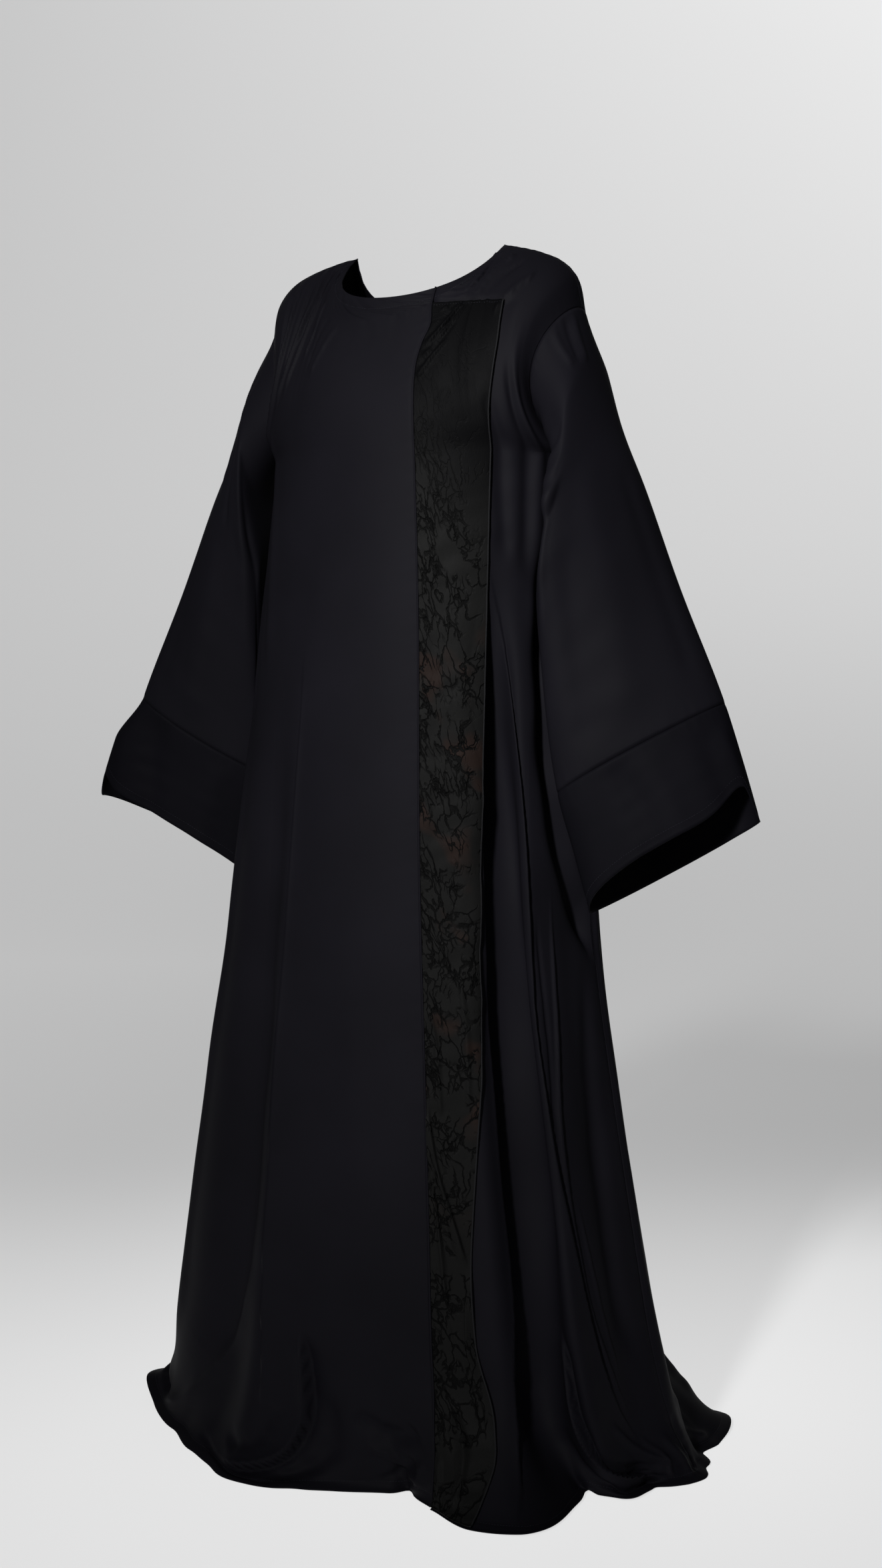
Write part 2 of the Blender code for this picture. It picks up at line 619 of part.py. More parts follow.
def build_band(jacquard):
    angles, downs = left_grid()
    angles = angles[BAND_ROW:, : BAND_CELLS + 1]
    downs = downs[BAND_ROW:, : BAND_CELLS + 1]
    share = np.arange(BAND_CELLS + 1) / BAND_CELLS
    normal = body_facing(angles, downs)
    wall = np.full(angles.shape, BAND_CLOTH)
    wall[:, -1] = ROLLED_EDGE
    raised = BAND_LIFT * ease(share) + wall - BAND_CLOTH
    outer = body_point(angles, downs) + normal * raised[..., None]
    step_back(outer, np.s_[:, 0], np.s_[:, 1])
    grid_solid("front_band", outer, outer - normal * wall[..., None], False, jacquard)


def build_sleeve(side, crepe):
    """A sleeve and its cuff, both tubes of closed rings round the arm."""
    turns = np.arange(2 * RISE_CELLS) / (2 * RISE_CELLS)
    for name, rows in (("sleeve", SLEEVE_ROWS), ("cuff", CUFF_ROWS)):
        turn, along = np.meshgrid(turns, rows)
        outer = sleeve_point(turn, along, side)
        normal = sleeve_facing(turn, along, side)
        if name == "sleeve":
            normal[0] = seam_direction(turns, side)
            outer[-1] -= across_ring(turns, along[-1], normal[-1], side) * SEAM_STEP
        outer[0] += across_ring(turns, along[0], normal[0], side) * SEAM_STEP
        inner = outer - normal * CLOTH
        if side == "left":
            outer, inner = outer[:, ::-1], inner[:, ::-1]
        grid_solid(f"{name}_{side}", outer, inner, True, crepe)


def make_fabric(name, colour, roughness):
    fabric = bpy.data.materials.new(name)
    fabric.use_nodes = True
    shader = fabric.node_tree.nodes["Principled BSDF"]
    shader.inputs["Base Color"].default_value = (*colour, 1.0)
    shader.inputs["Roughness"].default_value = roughness
    shader.inputs["Metallic"].default_value = 0.0
    return fabric


def main():
    for item in list(bpy.data.objects):
        bpy.data.objects.remove(item, do_unlink=True)
    fabrics = {name: make_fabric(name, **look) for name, look in FABRICS.items()}
    build_body(fabrics["crepe"])
    build_band(fabrics["jacquard"])
    for side in ("left", "right"):
        build_sleeve(side, fabrics["crepe"])


main()
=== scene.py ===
import math

import bpy
import numpy as np
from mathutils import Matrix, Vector


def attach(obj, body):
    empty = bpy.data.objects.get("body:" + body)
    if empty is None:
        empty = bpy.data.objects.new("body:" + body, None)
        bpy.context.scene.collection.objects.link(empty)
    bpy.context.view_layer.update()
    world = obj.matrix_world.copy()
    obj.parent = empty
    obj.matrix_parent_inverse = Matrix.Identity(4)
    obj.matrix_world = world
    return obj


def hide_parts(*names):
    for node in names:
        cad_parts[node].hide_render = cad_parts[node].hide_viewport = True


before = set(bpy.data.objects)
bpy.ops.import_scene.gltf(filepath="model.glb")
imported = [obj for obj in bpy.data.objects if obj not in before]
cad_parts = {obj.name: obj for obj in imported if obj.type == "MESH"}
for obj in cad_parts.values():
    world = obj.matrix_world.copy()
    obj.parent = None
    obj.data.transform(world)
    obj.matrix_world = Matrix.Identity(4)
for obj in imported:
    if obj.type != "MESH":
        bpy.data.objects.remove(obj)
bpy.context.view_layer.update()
print("frame loaded:", len(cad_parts), "nodes")

# Angles round the body: 0 is the middle of the front, 90 the wearer's left side seam, 180 the back and
# -90 or 270 the right side seam. "down" is the distance along the cloth below the underarm.


def readTable(names, *rows):
    return {name: np.array([row[i] for row in rows], float) for i, name in enumerate(names)}


def hermite(t, start, end, startTangent, endTangent):
    t2, t3 = t * t, t * t * t
    return ((2 * t3 - 3 * t2 + 1) * start + (3 * t2 - 2 * t3) * end
            + (t3 - 2 * t2 + t) * startTangent + (t3 - t2) * endTangent)


def smooth(x, xs, ys):  # a curve through (xs, ys) that never overshoots its points
    xs, ys = np.asarray(xs, float), np.asarray(ys, float)
    span = np.diff(xs)
    slope = np.diff(ys) / span
    ahead, behind = span[:-1] + 2 * span[1:], 2 * span[:-1] + span[1:]
    sameWay = slope[:-1] * slope[1:] > 0
    before, after = np.where(sameWay, slope[:-1], 1), np.where(sameWay, slope[1:], 1)
    tangent = np.zeros(len(xs))
    tangent[0], tangent[-1] = slope[0], slope[-1]
    tangent[1:-1] = np.where(sameWay, (ahead + behind) / (ahead / before + behind / after), 0)
    x = np.clip(x, xs[0], xs[-1])
    i = np.clip(np.searchsorted(xs, x) - 1, 0, len(xs) - 2)
    t = (x - xs[i]) / span[i]
    return hermite(t, ys[i], ys[i + 1], span[i] * tangent[i], span[i] * tangent[i + 1])


def ease(x):  # 0 below 0, 1 above 1 and a smooth step between
    x = np.clip(x, 0, 1)
    return x * x * (3 - 2 * x)


def bell(x, middle, width):
    return np.exp(-(((x - middle) / width) ** 2))


def turnBetween(angle, other):
    return (angle - other + 180) % 360 - 180


def unit(vectors):
    return vectors / np.linalg.norm(vectors, axis=-1, keepdims=True)


def ripple(distance, wave, shift=0.0):  # an uneven wave between about -1 and 1
    s = 2 * math.pi * distance / wave + shift
    return 0.6 * np.sin(s + 1.3 * np.sin(0.37 * s)) + 0.4 * np.sin(1.71 * s + 0.9 * np.sin(0.53 * s + 1))


form = {
    "floor": -1.5,
    "aboveFloor": 0.0018,
    "underarm": -0.27,
    "rise": 0.24,
    "hemDown": 1.30,
    "armholeInset": 0.030,
    "neckHalfWidth": 0.106,
    "neckTipY": 0.006,
    "neckSquareness": 0.20,
    "shoulderShare": 0.28,
    "poolStart": 1.10,
    "armClearance": 0.016,
    "bandTop": -0.084,
    "bandBehind": 0.0027,
    "bandSwing": 12.0,
    "bandFloor": (8.0, 18.0, 64.0, 76.0),  # degrees over which the hems pass in front of each other
    "armFade": (0.16, 0.03, 0.05),  # how fast that clearance comes in, twice along the arm and once below it
    "armFadeHeight": 0.06,
    "cornerRound": 0.02,
    "neckSoft": (18.0, 10.0),  # how far the kink below a neck point is spread, and how wide it is, in degrees
    "armholePull": 0.14,
}

sections = readTable(
    ("down", "height", "halfWidth", "front", "back", "shift"),
    (0.00, -0.270, 0.203, 0.158, 0.118, 0.000),
    (0.18, -0.450, 0.217, 0.172, 0.124, -0.006),
    (0.38, -0.649, 0.231, 0.186, 0.136, -0.011),
    (0.58, -0.848, 0.245, 0.198, 0.150, -0.017),
    (0.78, -1.047, 0.272, 0.208, 0.167, -0.020),
    (0.98, -1.244, 0.302, 0.218, 0.190, -0.019),
    (1.11, -1.371, 0.323, 0.226, 0.214, -0.015),
    (1.18, -1.438, 0.345, 0.232, 0.236, -0.008),
    (1.22, -1.470, 0.364, 0.238, 0.256, -0.002),
    (1.26, -1.490, 0.382, 0.244, 0.278, 0.000),
    (1.30, -1.498, 0.400, 0.252, 0.300, 0.000),
)

folds = readTable(
    ("start", "full", "angleTop", "angleHem", "widthTop", "widthHem", "depth"),
    (0.40, 1.10, -19, -19, 6, 6, 0.008),
    (0.20, 1.05, -33, -34, 9, 10, -0.022),
    (0.40, 1.15, -64, -64, 12, 12, 0.006),
    (0.35, 1.10, -92, -92, 8, 8, -0.016),
    (0.20, 1.00, 41, 42, 4, 4, 0.006),
    (0.05, 0.90, 48, 49, 5, 6, -0.030),
    (0.15, 0.90, 54, 60, 5, 6, 0.014),
    (0.30, 1.05, 74, 80, 6, 7, -0.010),
    (0.40, 1.10, 94, 96, 7, 7, 0.008),
    (0.25, 1.05, 112, 113, 7, 7, -0.016),
    (0.10, 0.95, 130, 131, 7, 7, 0.016),
    (0.35, 1.10, 148, 149, 6, 7, -0.022),
    (0.20, 1.05, 165, 166, 7, 7, 0.016),
    (0.15, 1.00, 184, 184, 7, 8, -0.024),
    (0.30, 1.10, 202, 201, 7, 7, 0.018),
    (0.20, 1.05, 220, 219, 6, 7, -0.022),
    (0.10, 0.95, 238, 238, 7, 7, 0.014),
)

hem = readTable(
    ("angle", "reach", "lift"),
    (-90, 0.000, 0.012),
    (-76, 0.000, 0.022),
    (-62, -0.016, 0.004),
    (-46, -0.008, 0.000),
    (-33, 0.026, 0.000),
    (-13, 0.026, 0.000),
    (1, -0.008, 0.000),
    (12, -0.030, 0.000),
    (19, 0.000, 0.000),
    (27, 0.046, 0.000),
    (35, 0.056, 0.000),
    (46, 0.000, 0.000),
    (57, -0.042, 0.000),
    (70, -0.044, 0.000),
    (83, -0.022, 0.000),
    (106, -0.034, 0.000),
    (114, 0.000, 0.000),
    (126, 0.012, 0.004),
    (145, -0.010, 0.000),
    (165, 0.020, 0.000),
    (190, -0.010, 0.000),
    (215, 0.020, 0.000),
    (238, -0.012, 0.000),
)

bandEdges = readTable(
    ("height", "inner", "outer"),
    (-1.500, 0.130, 0.196),
    (-1.450, 0.128, 0.200),
    (-1.410, 0.122, 0.190),
    (-1.316, 0.112, 0.160),
    (-1.213, 0.106, 0.152),
    (-1.047, 0.097, 0.155),
    (-0.800, 0.084, 0.145),
    (-0.452, 0.072, 0.145),
    (-0.234, 0.059, 0.1445),
    (-0.164, 0.0545, 0.147),
    (-0.136, 0.058, 0.148),
    (-0.112, 0.064, 0.147),
    (-0.084, 0.060, 0.146),
    (0.000, 0.060, 0.146),
)

shoulder = readTable(
    ("share", "x", "y", "z"),
    (0.00, 0.215, 0.000, -0.088),
    (0.22, 0.207, 0.001, -0.052),
    (0.42, 0.187, 0.003, -0.028),
    (0.68, 0.152, 0.005, -0.012),
    (1.00, 0.106, 0.006, 0.000),
)

neckDip = {"front": (0.112, 0.074, 1.0), "back": (0.060, 0.072, 0.55)}  # reach, drop and squareness

sleeveSections = readTable(
    ("along", "upperX", "upperY", "upperZ", "lowerX", "lowerZ", "front", "back", "swayLeft", "swayRight"),
    (0.00, 0.215, 0.000, -0.088, 0.203, -0.270, 0.075, 0.062, 0.000, 0.000),
    (0.05, 0.223, -0.002, -0.112, 0.214, -0.284, 0.074, 0.063, -0.014, -0.004),
    (0.14, 0.240, -0.005, -0.158, 0.228, -0.318, 0.070, 0.066, -0.056, -0.012),
    (0.30, 0.268, -0.012, -0.236, 0.222, -0.378, 0.060, 0.064, -0.106, -0.020),
    (0.48, 0.303, -0.020, -0.311, 0.214, -0.445, 0.052, 0.060, -0.122, -0.014),
    (0.70, 0.352, -0.028, -0.432, 0.220, -0.550, 0.044, 0.052, -0.120, 0.000),
    (1.00, 0.413, -0.035, -0.572, 0.236, -0.678, 0.040, 0.044, -0.116, 0.012),
    (1.14, 0.437, -0.038, -0.641, 0.254, -0.748, 0.042, 0.044, -0.110, 0.014),
    (1.28, 0.458, -0.040, -0.708, 0.273, -0.818, 0.044, 0.044, -0.108, 0.016),
)

cuff = {
    "seam": 1.00,
    "hem": 1.28,
    "bulge": {"left": 0.0, "right": 0.024},
    "frontLift": 0.030,
    "notch": {"left": 0.075, "right": 0.050},  # the hem is caught up where the hand comes out
    "notchTurn": (0.05, 0.08),                 # where round the cuff that is, and how wide
}

# Small bites where the hem buckles on the floor, with half widths in degrees.
hemNotches = readTable(
    ("angle", "width", "depth"),
    (-24, 3.0, 0.003),
    (-6, 2.0, 0.003),
    (13.0, 1.6, 0.014),
    (50.5, 1.6, 0.016),
    (72, 3.0, 0.004),
    (96, 3.5, 0.010),
    (133, 3.0, 0.010),
    (156, 2.5, 0.008),
    (177, 3.0, 0.010),
    (203, 2.5, 0.008),
    (229, 3.0, 0.010),
    (252, 3.0, 0.008),
)


def roundTable(angle, table, name):
    angles = np.concatenate([table["angle"] - 360, table["angle"], table["angle"] + 360])
    return smooth((angle + 90) % 360 - 90, angles, np.tile(table[name], 3))


def foldDepth(angle, down):
    depth = np.zeros(np.broadcast(angle, down).shape)
    for start, full, angleTop, angleHem, widthTop, widthHem, deep in zip(*folds.values()):
        share = np.clip((down - start) / (form["hemDown"] - start), 0, 1)
        away = turnBetween(angle, angleTop + (angleHem - angleTop) * share)
        grown = deep * ease((down - start) / (full - start))
        depth = depth + grown * bell(away, 0, widthTop + (widthHem - widthTop) * share)
    return depth


def floorHeight(angle):  # the left front's hem passes under the band
    start, full, end, clear = form["bandFloor"]
    turned = turnBetween(angle, 0)
    under = ease((turned - start) / (full - start)) * (1 - ease((turned - end) / (clear - end)))
    return form["floor"] + form["aboveFloor"] + form["bandBehind"] * under


def lowerBody(angle, down):
    down = np.maximum(down, 0)
    size = {name: smooth(down, sections["down"], sections[name]) for name in sections if name != "down"}
    across, ahead = np.sin(np.radians(angle)), np.cos(np.radians(angle))
    deep = np.where(ahead > 0, size["front"], size["back"])
    out = unit(np.stack([across / size["halfWidth"], -ahead / deep], -1))
    pooled = ease((down - form["poolStart"]) / (form["hemDown"] - form["poolStart"]))
    bitten = sum(deep * bell(turnBetween(angle, place), 0, width)
                 for place, width, deep in zip(*hemNotches.values()))
    outward = foldDepth(angle, down) + pooled * (roundTable(angle, hem, "reach") - pooled * bitten)
    x = size["shift"] + size["halfWidth"] * across + outward * out[..., 0]
    y = -deep * ahead + outward * out[..., 1]
    z = np.maximum(size["height"] + pooled * roundTable(angle, hem, "lift"), floorHeight(angle))
    return np.stack(np.broadcast_arrays(x, y, z), -1)


def outsideBody(x, y, z, along):  # keeps a sleeve clear of the body
    down = smooth(-z, -sections["height"], sections["down"])
    halfWidth = smooth(down, sections["down"], sections["halfWidth"])
    deep = np.where(y < 0, smooth(down, sections["down"], sections["front"]),
                    smooth(down, sections["down"], sections["back"]))
    apart = np.hypot(x / halfWidth, y / deep)
    soon, start, below = form["armFade"]
    least = 1 + form["armClearance"] * np.clip(along / soon, 0, 1) / halfWidth
    wanted = (apart + least + np.hypot(apart - least, form["cornerRound"])) / 2
    underArm = ease((form["underarm"] + form["armFadeHeight"] - z) / below)
    grow = 1 + (wanted / apart - 1) * ease(along / start) * underArm
    return x * grow, y * grow


def sleeveSection(turn, along, side, clear=True):  # turn 0 is the top, 0.25 the front, 0.5 the underarm
    turn, along = np.broadcast_arrays(np.asarray(turn, float), np.asarray(along, float))
    size = {name: smooth(along, sleeveSections["along"], sleeveSections[name])
            for name in sleeveSections if name != "along"}
    lowerY = size["swayLeft" if side == "left" else "swayRight"]
    low, swing = (1 - np.cos(2 * math.pi * turn)) / 2, np.sin(2 * math.pi * turn)
    depth = np.where(swing > 0, size["front"], size["back"])
    inset = form["armholeInset"] * (1 - ease(along / 0.14)) * swing * swing
    bulge = cuff["bulge"][side] * ease((along - cuff["seam"]) / 0.12) * (1 - low)
    x = size["upperX"] + (size["lowerX"] - size["upperX"]) * low - inset + bulge
    y = size["upperY"] + (lowerY - size["upperY"]) * low - depth * swing
    z = size["upperZ"] + (size["lowerZ"] - size["upperZ"]) * low
    atHem = ease((along - cuff["seam"]) / (cuff["hem"] - cuff["seam"]))
    z = z + cuff["frontLift"] * atHem * np.maximum(swing, 0)
    if clear:
        x, y = outsideBody(x, y, z, along)
    return np.stack([x, y, z], -1)


def columnEnds(angle):
    front = np.cos(np.radians(angle)) >= 0
    side = np.where(np.sin(np.radians(angle)) >= 0, 1.0, -1.0)
    fromMiddle = np.abs(turnBetween(angle, np.where(front, 0, 180)))
    share = np.abs(90 - fromMiddle) / 180
    along = np.clip(share / form["shoulderShare"], 0, 1)
    dip = np.clip((share - form["shoulderShare"]) / (0.5 - form["shoulderShare"]), 0, 1) * math.pi / 2
    reachSin, reachCos = np.sin(dip), np.cos(dip)
    onNeck = share > form["shoulderShare"]
    forward = np.where(front, -neckDip["front"][0], neckDip["back"][0])
    drop = np.where(front, neckDip["front"][1], neckDip["back"][1])
    power = np.where(front, neckDip["front"][2], neckDip["back"][2])
    neckX = form["neckHalfWidth"] * reachCos * (1 + form["neckSquareness"] * reachSin * reachSin)
    onShoulder = {name: smooth(along, shoulder["share"], shoulder[name]) for name in ("x", "y", "z")}
    x = side * np.where(onNeck, neckX, onShoulder["x"])
    y = np.where(onNeck, form["neckTipY"] + forward * reachSin, onShoulder["y"])
    z = np.where(onNeck, -drop * reachSin**power, onShoulder["z"])
    over = np.where(front, 1.0, -1.0)
    tangent = np.stack(np.broadcast_arrays(-side * 0.08 * ease(along) * reachCos,
                                           over * (0.16 * (1 - reachSin) + 0.05 * reachSin),
                                           0.06 * (1 - reachSin) + 0.16 * reachSin), -1)
    return np.stack(np.broadcast_arrays(x, y, z), -1), tangent, share, side, front


def upperColumn(angle, rise):
    top, endTangent, _, _, _ = columnEnds(angle)
    foot = lowerBody(angle, np.zeros_like(angle))
    startTangent = (foot - lowerBody(angle, np.full_like(angle, 0.02))) / 0.02 * form["rise"]
    return hermite(rise[..., None], foot, top, startTangent, endTangent)


def softColumn(angle, rise):  # without the kink that would hang from each neck point
    fromPoint = np.abs(90 - np.abs(turnBetween(angle, 0))) - 180 * form["shoulderShare"]
    far, wide = form["neckSoft"]
    reach = far * rise * np.sqrt(1 - rise) * bell(fromPoint, 0, wide)
    beside = upperColumn(angle - reach, rise) + upperColumn(angle + reach, rise)
    return (beside + 2 * upperColumn(angle, rise)) / 4


def upperBody(angle, rise):
    _, _, share, side, front = columnEnds(angle)
    sideAngle = np.where(front, side * 90.0, np.where(side > 0, 90.001, 269.999))
    turn = np.where(front, 0.5 - 0.5 * rise, 0.5 + 0.5 * rise)
    edge = sleeveSection(turn, np.zeros_like(rise), "left", False)
    edge[..., 0] *= side
    near = (1 - 4 * share * share) ** 2
    settled = 1 - (1 - near**5) * np.exp(-rise / form["armholePull"])  # gentle away from the armhole
    return softColumn(angle, rise) + (near * settled)[..., None] * (edge - upperColumn(sideAngle, rise))


def bodyPoint(angle, down):
    angle, down = np.broadcast_arrays(np.asarray(angle, float), np.asarray(down, float))
    rise = np.clip(-down / form["rise"], 0, 1)
    return np.where((down < 0)[..., None], upperBody(angle, rise), lowerBody(angle, down))


def facing(pointAt, a, b, stepA, stepB, lowB, highB):
    alongA = pointAt(a + stepA, b) - pointAt(a - stepA, b)
    alongB = pointAt(a, np.minimum(b + stepB, highB)) - pointAt(a, np.maximum(b - stepB, lowB))
    return unit(np.cross(alongB, alongA))


def bodyFacing(angle, down):
    front = np.cos(np.radians(angle)) >= 0
    inside = np.where(front, np.clip(angle, -89.4, 89.4), np.clip(angle % 360, 90.6, 269.4))
    inside = np.where(down < 0, inside, angle)
    return facing(bodyPoint, inside, down, 0.5, 0.004, -form["rise"], form["hemDown"])


def sleevePoint(turn, along, side):
    return sleeveSection(turn, along, side) * np.array([1.0 if side == "left" else -1.0, 1.0, 1.0])


def sleeveFacing(turn, along, side):
    normal = facing(lambda t, s: sleevePoint(t, s, side), turn, along, 0.004, 0.01, 0.0, cuff["hem"])
    return -normal if side == "left" else normal


def findEdge(name):  # the angle where the front meets an edge of the band, for a row of distances down
    down = np.linspace(-form["rise"], form["hemDown"], 309)
    low, high = np.full(down.shape, -10.0), np.full(down.shape, 85.0)
    for _ in range(26):
        middle = (low + high) / 2
        point = bodyPoint(middle, down)
        short = point[..., 0] < smooth(point[..., 2], bandEdges["height"], bandEdges[name])
        low, high = np.where(short, middle, low), np.where(short, high, middle)
    return down, (low + high) / 2


edges = {name: findEdge(name) for name in ("inner", "outer")}


def edgeAngle(name, down):
    return np.interp(down, *edges[name])


# Each crease has a half width and a height in millimetres (negative sinks), then a drop, and then the
# places that it runs through. A drop of 1 or -1 makes an edge that falls away to the right or the left.
bodyCreases = (
    # right front: the long fold that parts the flat front from the side, and its foot on the floor
    (2.4, 6.4, -1, (-20, 0.24), (-19, 0.67), (-18, 1.00), (-16, 1.19)),
    (29, -10, 0, (-30, 0.26), (-31, 0.70), (-33, 1.00), (-43, 1.14), (-62, 1.235)),
    (16, 6, 0, (-58, 0.30), (-62, 0.80), (-62, 1.06), (-74, 1.20)),
    (12, 6, 0, (-24, 1.00), (-34, 1.12), (-52, 1.22), (-64, 1.265)),
    (18, 4, 0, (-74, 0.10), (-80, 0.70), (-78, 1.12)),
    (3.2, 11, 1, (-7, 1.06), (-5, 1.15), (-8, 1.205), (-13, 1.235), (-24, 1.262)),
    (12, -7, 0, (-1, 1.13), (0, 1.18), (-5, 1.235), (-13, 1.262)),
    (11, -6, 0, (-13, 1.15), (-16, 1.20), (-25, 1.225)),
    (9, -9, 0, (-80, 1.20), (-73, 1.225), (-62, 1.24)),
    (12, -8.5, 0, (5, 1.150), (13, 1.172), (20, 1.160)),
    (5, 5.5, 0, (6, 1.190), (12, 1.205), (17, 1.235)),
    (5.5, -5.5, 0, (8, 1.250), (13, 1.225), (17, 1.195)),
    (4, 5, 0, (14, 1.270), (17, 1.235), (19, 1.195)),
    (5, -3, 0, (-36, 1.24), (-22, 1.268), (-8, 1.275)),
    # right front: chest and shoulder
    (3.4, 4.2, 0, (-45, -0.228), (-46, -0.175), (-54, -0.115), (-62, -0.07)),
    (4, -3, 0, (-50, -0.225), (-51, -0.17), (-59, -0.105)),
    (3.4, 3.6, 0, (-38, -0.215), (-40, -0.175), (-47, -0.120), (-54, -0.08)),
    (4, -2.6, 0, (-42, -0.215), (-43, -0.175), (-50, -0.120)),
    (5, 5.8, 0, (-56, -0.215), (-59, -0.16), (-66, -0.10), (-74, -0.03)),
    (5.5, -4, 0, (-63, -0.215), (-66, -0.15), (-72, -0.08)),
    (3.4, 2.6, 0, (-27, -0.190), (-33, -0.15), (-42, -0.105)),
    (3, 2, 0, (-14, -0.180), (-23, -0.13), (-31, -0.095)),
    (3.4, -1.8, 0, (-19, -0.182), (-28, -0.14), (-36, -0.100)),
    (16, 3, 0, (-72, -0.08), (-52, 0.06), (-40, 0.28)),
    (14, -3, 0, (-80, -0.02), (-64, 0.12), (-56, 0.36)),
    (35, -1.6, 0, (-8, 0.50), (-6, 0.80), (-4, 1.12)),
    (20, 1.4, 0, (5, 0.65), (8, 0.95), (9, 1.14)),
    # left front: the strip beside the band, its sharp edge and the deep valley
    (1.6, 6, 1, (43.4, 0.30), (44.6, 0.50), (45.4, 0.66), (45, 0.83), (45.4, 1.00), (42.5, 1.13), (35, 1.27)),
    (20, -29, 0, (46, 0.16), (48.6, 0.33), (52.4, 0.57), (53.4, 0.83), (52.6, 1.00), (49, 1.17), (43, 1.27)),
    (2.4, 4.4, 1, (45, 0.14), (50.5, 0.22), (54.5, 0.33), (58.6, 0.51), (59.4, 0.69), (60, 0.80),
     (64.5, 1.00), (70, 1.13), (78, 1.21)),
    (2.4, 4.6, 0, (68, 0.53), (67, 0.67), (63.5, 0.84), (65.5, 0.98), (71, 1.10), (76, 1.17)),
    (3, -2.4, 0, (62, 0.56), (63.5, 0.70), (62, 0.82)),
    (2.2, 2.4, 0, (67, 0.90), (71, 1.02), (75, 1.11)),
    (18, -23, 0, (67, 0.10), (68, 0.30), (71, 0.42), (78, 0.52), (86, 0.58), (94, 0.63)),
    (14, -5, 0, (84, 0.60), (80, 0.80), (80, 1.00), (86, 1.13)),
    (12, 3.6, 0, (96, 0.40), (93, 0.70), (92, 1.00), (96, 1.16)),
    (3, 10, 1, (54, 1.05), (55, 1.13), (58, 1.195), (64, 1.232), (80, 1.255)),
    (8, -9, 0, (51, 1.17), (55, 1.235), (64, 1.268), (78, 1.275)),
    (4, 4.5, 0, (66, 1.16), (73, 1.20), (84, 1.235)),
    (4, -4, 0, (60, 1.20), (70, 1.225), (80, 1.236)),
    (3, 3.5, 0, (76, 1.19), (82, 1.225), (80, 1.265)),
    (8, -6, 0, (90, 1.17), (93, 1.23), (90, 1.27)),
    (7, 4.5, 0, (84, 1.19), (88, 1.24), (86, 1.28)),
    # left front: shoulder, and from the shoulder down beside the sleeve
    (3.4, 3.4, 0, (15, -0.212), (21, -0.222), (27, -0.215)),
    (3.4, 4.8, 0, (22, -0.190), (29, -0.203), (38, -0.222)),
    (3.6, -3.4, 0, (27, -0.186), (34, -0.196), (42, -0.212)),
    (3.4, 4.6, 0, (33, -0.160), (40, -0.180), (50, -0.208)),
    (3.6, -3.4, 0, (39, -0.152), (46, -0.170), (56, -0.200)),
    (5, 3, 0, (50, -0.140), (58, -0.165), (66, -0.190)),
    (13, 4, 0, (74, -0.15), (69, -0.05), (65, 0.08), (63, 0.24)),
    (14, -4, 0, (50, -0.08), (50, 0.02), (52, 0.14)),
    (12, -3, 0, (67, -0.12), (61, 0.00), (59, 0.16)),
    # back
    (18, -3, 0, (118, -0.10), (121, 0.10), (124, 0.30)),
    (14, 2.4, 0, (150, -0.18), (142, -0.06), (138, 0.10)),
    (14, 2.6, 0, (210, -0.18), (219, -0.05), (224, 0.10)),
    (24, 3, 0, (180, -0.15), (181, 0.15), (183, 0.45)),
    (16, -3.2, 0, (240, -0.06), (239, 0.15), (236, 0.35)),
    (10, 3, 0, (104, 0.35), (103, 0.80), (106, 1.20)),
    (6, 3.4, 1, (121, 0.40), (123, 0.80), (121, 1.18)),
    (12, -3.2, 0, (139, 0.40), (141, 0.80), (140, 1.22)),
    (6, 3.4, -1, (157, 0.50), (156, 0.85), (158, 1.20)),
    (10, -2.6, 0, (174, 0.50), (176, 0.85), (174, 1.18)),
    (6, 3.6, 1, (193, 0.40), (194, 0.80), (192, 1.22)),
    (9, -2.6, 0, (211, 0.55), (210, 0.85), (211, 1.18)),
    (6, 3.6, -1, (229, 0.40), (228, 0.80), (230, 1.20)),
    (14, -3, 0, (250, 0.45), (249, 0.80), (251, 1.18)),
    (14, 3.2, 0, (262, 0.25), (260, 0.65), (262, 1.10)),
    (9, 5, 0, (98, 1.15), (106, 1.21), (116, 1.27)),
    (10, 5, 0, (122, 1.13), (129, 1.20), (138, 1.265)),
    (10, -5, 0, (150, 1.16), (158, 1.22), (168, 1.27)),
    (10, 5, 0, (200, 1.14), (190, 1.21), (178, 1.27)),
    (10, -5, 0, (208, 1.16), (216, 1.22), (226, 1.27)),
    (10, 5, 0, (254, 1.14), (246, 1.21), (236, 1.27)),
)

